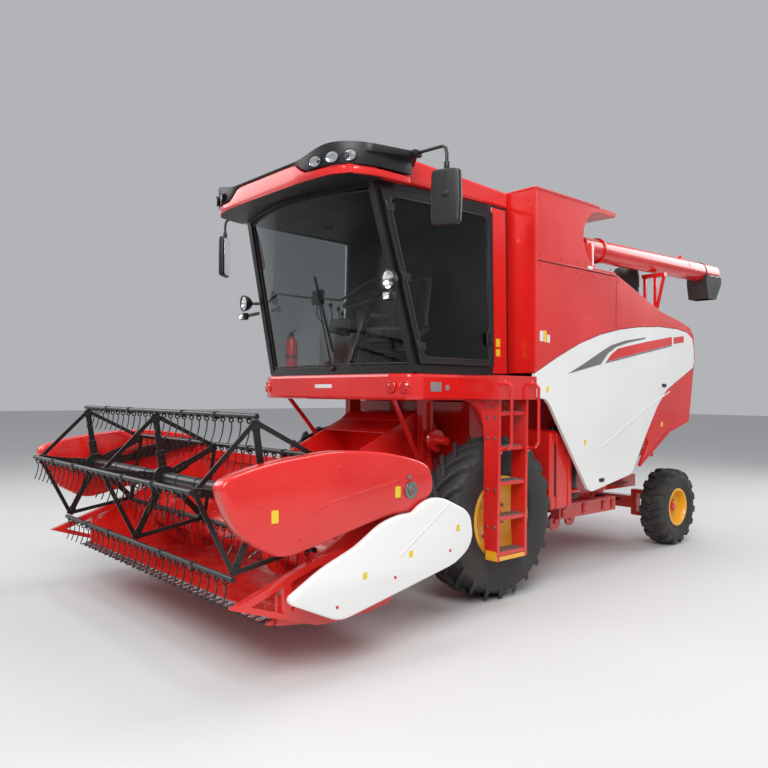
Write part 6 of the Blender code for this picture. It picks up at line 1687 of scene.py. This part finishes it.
class COMBINE_OT_chassis(bpy.types.Operator):
    """Tank straps, battery box, drive pulleys, belts, axle fittings and hoses"""

    bl_idname = "combine.chassis"
    bl_label = "Chassis Fittings"

    def execute(self, context):
        red = bmesh.new()
        for y in (0.820, 1.000):
            pipe(red, [(0.775, y, 1.3445), (1.140, y, 1.3445), (1.1645, y, 1.320), (1.1645, y, 0.660),
                       (1.140, y, 0.6355), (0.775, y, 0.6355)], 0.006, 6)
        for side in (1, -1):
            x = side * 0.985
            box(red, (x - 0.15, 1.110, 0.760), (x + 0.15, 1.240, 0.790), 0.006)
            for y in (1.25, 1.60, 1.95, 2.12):
                box(red, (side * 0.9452 - 0.006 + side * 0.006, y - 0.03, 0.500),
                    (side * 0.9452 + 0.006 + side * 0.006, y + 0.03, 0.600), 0.003)
                for z in (0.525, 0.575):
                    bolt(red, (side * 0.9570, y, z), (side, 0, 0), 0.009)
            for y in (1.35, 1.75, 2.15, 2.55):
                bar(red, (side * 0.768, y, 0.92), (side * 0.768, y, 1.80), 0.040, 0.022, (0, 1, 0), 0.005)
            bar(red, (side * 0.545, -0.180, 0.940), (side * 0.545, -0.180, 1.600), 0.040, 0.012, (0, 1, 0),
                0.003)
        show(red, "chassis_brackets", "red_paint")
        cap = bmesh.new()
        turned(cap, [(0, 0.036), (0.030, 0.036), (0.038, 0.030), (0.040, 0.006), (0.030, 0.002),
                     (0.030, -0.004), (0, -0.004)], (1.060, 0.910, 1.340), (0, 0, 1), 32)
        rod(cap, (1.1625, 0.800, 0.760), (1.1625, 0.800, 1.240), 0.009, 12)
        box(cap, (0.800, 1.120, 0.700), (1.120, 1.235, 0.760), 0.008)
        show(cap, "fuel_cap_and_gauge", "moulded_black")
        battery = bmesh.new()
        box(battery, (0.780, 1.120, 0.792), (1.100, 1.236, 1.000), 0.008)
        for y in (1.150, 1.206):
            rod(battery, (0.850, y, 0.999), (0.850, y, 1.016), 0.012, 14)
            rod(battery, (1.040, y, 0.999), (1.040, y, 1.016), 0.012, 14)
        show(battery, "battery", "moulded_black")
        pulleys, belts = bmesh.new(), bmesh.new()
        drives = (((1.420, 1.250, 0.150), (2.000, 1.450, 0.210), 0.800),
                  ((2.000, 1.450, 0.110), (2.620, 1.250, 0.160), 0.838),
                  ((1.760, 0.900, 0.120), (2.000, 1.450, 0.080), 0.868))
        for side in (1, -1):
            for first, second, x in drives:
                for y, z, radius in (first, second):
                    turned(pulleys, [(0, -0.012), (0.030, -0.012), (0.032, -0.004), (radius * 0.80, -0.004),
                                     (radius * 0.86, -0.014), (radius, -0.014), (radius - 0.010, 0.0),
                                     (radius, 0.014), (radius * 0.86, 0.014), (radius * 0.80, 0.004),
                                     (0.032, 0.004), (0.030, 0.016), (0, 0.016)], (side * x, y, z),
                           (side, 0, 0), 40)
                    rod(pulleys, (side * 0.758, y, z), (side * (x + 0.030), y, z), 0.016, 16)
                start, end = Vector((0, first[0], first[1])), Vector((0, second[0], second[1]))
                way = (end - start).normalized()
                across = Vector((0, -way.z, way.y))
                swing = (first[2] - second[2]) / (end - start).length
                steps = []
                base = pi / 2 - swing
                for centre, radius, low, high in ((start, first[2] - 0.004, pi - (pi / 2 - swing), pi
                        + (pi / 2 - swing)), (end, second[2] - 0.004, -base, base)):
                    for step in range(11):
                        angle = low + (high - low) * step / 10
                        steps.append(centre + way * (radius * cos(angle)) + across * (radius * sin(angle))
                                     + Vector((side * x, 0, 0)))
                pipe(belts, steps, 0.009, 6, closed=True)
        show(pulleys, "drive_pulleys", "dull_steel")
        show(belts, "drive_belts", "soft_rubber")
        axles = bmesh.new()
        for side in (1, -1):
            for index in range(8):
                angle = 2 * pi * index / 8
                bolt(axles, (side * 0.790, 0.095 * cos(angle), 0.648 + 0.080 * sin(angle)), (side, 0, 0),
                     0.010)
            bar(axles, (side * 0.300, 0.0, 0.738), (side * 0.600, 0.0, 0.738), 0.060, 0.016, round_off=0.004)
            for y in (-0.100, 0.100):
                rod(axles, (side * 0.705, y, 0.747), (side * 0.705, y, 0.7595), 0.016, 6)
        show(axles, "axle_bolts", "dull_steel")
        hoses = bmesh.new()
        for step in range(3):
            y = 0.150 + 0.035 * step
            pipe(hoses, [(0.560, y, 0.905), (0.640, y, 0.900), (0.700, y, 0.870), (0.745, y, 0.820),
                         (0.750, y + 0.02, 0.760), (0.700, y - 0.03, 0.720), (0.640, y - 0.05, 0.700)], 0.009,
                 8)
        for side in (1, -1):
            pipe(hoses, [(side * 0.555, 0.30, 0.800), (side * 0.555, 0.95, 0.800),
                         (side * 0.555, 1.18, 0.560), (side * 0.555, 2.32, 0.560),
                         (side * 0.555, 2.46, 0.660), (side * 0.555, 3.10, 0.660)], 0.008, 8)
        show(hoses, "chassis_lines", "soft_rubber")
        steer = bmesh.new()
        rod(steer, (-0.420, 3.140, 0.440), (0.420, 3.140, 0.440), 0.014, 14)
        rod(steer, (-0.240, 3.140, 0.440), (0.240, 3.140, 0.440), 0.030, 20, round_off=0.004)
        for x in (-0.250, 0.250):
            rod(steer, (x - 0.012, 3.140, 0.440), (x + 0.012, 3.140, 0.440), 0.034, 20)
            box(steer, (x - 0.020, 3.140, 0.390), (x + 0.020, 3.172, 0.470), 0.004)
        show(steer, "steering_ram", "black_paint")
        shaft = bmesh.new()
        rod(shaft, (0.770, -0.200, 1.270), (-0.770, -0.200, 1.270), 0.034, 24)
        for side in (1, -1):
            turned(shaft, [(0, -0.020), (0.095, -0.020), (0.098, -0.012), (0.086, 0.0), (0.098, 0.012),
                           (0.095, 0.020), (0.050, 0.022), (0.046, 0.040), (0, 0.040)],
                   (side * 0.640, -0.200, 1.270), (side, 0, 0), 40)
            for y, z, radius in ((1.300, 0.430, 0.085), (1.560, 0.440, 0.075)):
                turned(shaft, [(0, -0.014), (0.026, -0.014), (radius, -0.014), (radius - 0.010, 0.0),
                               (radius, 0.014), (0.026, 0.014), (0.022, 0.030), (0, 0.030)],
                       (side * 0.800, y, z), (side, 0, 0), 36)
                bar(shaft, (side * 0.800, y, z), (side * 0.800, y, 0.620), 0.030, 0.050, (0, 1, 0), 0.006)
        show(shaft, "header_drive_shaft", "red_paint")
        intake = bmesh.new()
        turned(intake, [(0, 2.5284), (0.060, 2.5284), (0.060, 2.782), (0.100, 2.784), (0.136, 2.800),
                        (0.138, 2.840), (0.134, 2.842), (0.134, 2.852), (0.138, 2.854), (0.140, 3.000),
                        (0.135, 3.045), (0.115, 3.078), (0.070, 3.096), (0, 3.100)], (0.780, 2.660, 0),
               (0, 0, 1), 48)
        for index in range(20):
            angle = 2 * pi * index / 20
            out = Vector((cos(angle), sin(angle), 0))
            bar(intake, Vector((0.780, 2.660, 2.870)) + out * 0.139, Vector((0.780, 2.660, 2.985))
                + out * 0.139, 0.008, 0.006, out)
        show(intake, "air_intake_bowl", "moulded_black", "chassis", ("air_intake",))
        return {"FINISHED"}


# ---------------------------------------------------------------- stage
class COMBINE_OT_stage(bpy.types.Operator):
    """Pale floor, soft studio light and the camera"""

    bl_idname = "combine.stage"
    bl_label = "Stage"

    def execute(self, context):
        scene = context.scene
        settings = scene.harvester_stage
        floor = bmesh.new()
        bmesh.ops.create_grid(floor, x_segments=1, y_segments=1, size=60.0)
        mesh = bpy.data.meshes.new("studio_floor")
        floor.to_mesh(mesh)
        floor.free()
        pale = bpy.data.materials.new("studio_floor")
        pale.use_nodes = True
        shader = pale.node_tree.nodes["Principled BSDF"]
        shader.inputs["Base Color"].default_value = (0.60, 0.60, 0.595, 1)
        shader.inputs["Roughness"].default_value = 0.85
        mesh.materials.append(pale)
        ground = bpy.data.objects.new("studio_floor", mesh)
        scene.collection.objects.link(ground)
        world = bpy.data.worlds.new("studio")
        world.use_nodes = True
        world.node_tree.nodes["Background"].inputs["Color"].default_value = (0.93, 0.95, 1.0, 1)
        world.node_tree.nodes["Background"].inputs["Strength"].default_value = settings.sky
        scene.world = world
        lights = (("key_light", (7.0, -7.5, 8.5), 7.0, settings.key_power),
                  ("fill_light", (-8.0, -6.0, 6.0), 6.0, 260.0), ("top_light", (0.5, 0.5, 9.0), 6.0, 420.0),
                  ("rear_light", (3.0, 10.0, 6.0), 6.0, 320.0))
        for name, place, size, power in lights:
            data = bpy.data.lights.new(name, "AREA")
            data.shape = "DISK"
            data.size = size
            data.energy = power
            lamp = bpy.data.objects.new(name, data)
            aim = Vector((0, 0, 1.2)) - Vector(place)
            lamp.matrix_world = Matrix.Translation(place) @ aim.to_track_quat("-Z", "Y").to_matrix().to_4x4()
            scene.collection.objects.link(lamp)
        turn, lift, roll = settings.camera_turn, settings.camera_lift, settings.camera_roll
        look = Vector((-sin(turn) * cos(lift), cos(turn) * cos(lift), sin(lift)))
        right = Vector((cos(turn), sin(turn), 0))
        up = right.cross(look)
        across, upright = right * cos(roll) + up * sin(roll), up * cos(roll) - right * sin(roll)
        pose = Matrix((across, upright, -look)).transposed().to_4x4()
        data = bpy.data.cameras.new("camera")
        data.lens = settings.lens
        data.sensor_width = 36.0
        data.clip_end = 200.0
        camera = bpy.data.objects.new("camera", data)
        scene.collection.objects.link(camera)
        camera.matrix_world = Matrix.Translation(Vector(settings.camera_place)
                + Vector((0, AXLE_Y, 0))) @ pose
        scene.camera = camera
        scene.view_settings.view_transform = "Standard"
        return {"FINISHED"}


OPERATORS = (COMBINE_OT_stage, COMBINE_OT_materials, COMBINE_OT_cad_finishes, COMBINE_OT_wheels,
             COMBINE_OT_side_panels, COMBINE_OT_grain_tank, COMBINE_OT_engine_hood,
             COMBINE_OT_unloading_auger, COMBINE_OT_table_auger, COMBINE_OT_reel, COMBINE_OT_header,
             COMBINE_OT_visor, COMBINE_OT_lamps, COMBINE_OT_cab_outside, COMBINE_OT_mirrors, COMBINE_OT_seat,
             COMBINE_OT_controls, COMBINE_OT_ladder, COMBINE_OT_chassis,)


class COMBINE_PT_panel(bpy.types.Panel):
    """Lists the pieces and their sizes"""

    bl_idname = "COMBINE_PT_panel"
    bl_label = "Combine Harvester"
    bl_space_type = "VIEW_3D"
    bl_region_type = "UI"
    bl_category = "Combine"

    def draw(self, context):
        for name, group in SETTINGS:
            column = self.layout.box().column()
            for setting in group.__annotations__:
                column.prop(getattr(context.scene, name), setting)
        for operator in OPERATORS:
            self.layout.operator(operator.bl_idname)


def register():
    for name, group in SETTINGS:
        bpy.utils.register_class(group)
        setattr(bpy.types.Scene, name, bpy.props.PointerProperty(type=group))
    for item in (*OPERATORS, COMBINE_PT_panel):
        bpy.utils.register_class(item)


def unregister():
    for item in reversed((*OPERATORS, COMBINE_PT_panel)):
        bpy.utils.unregister_class(item)
    for name, group in reversed(SETTINGS):
        delattr(bpy.types.Scene, name)
        bpy.utils.unregister_class(group)


def main():
    register()
    for operator in OPERATORS:
        getattr(bpy.ops.combine, operator.bl_idname.split(".")[1])()
    bpy.context.view_layer.update()


if __name__ == "__main__":
    main()
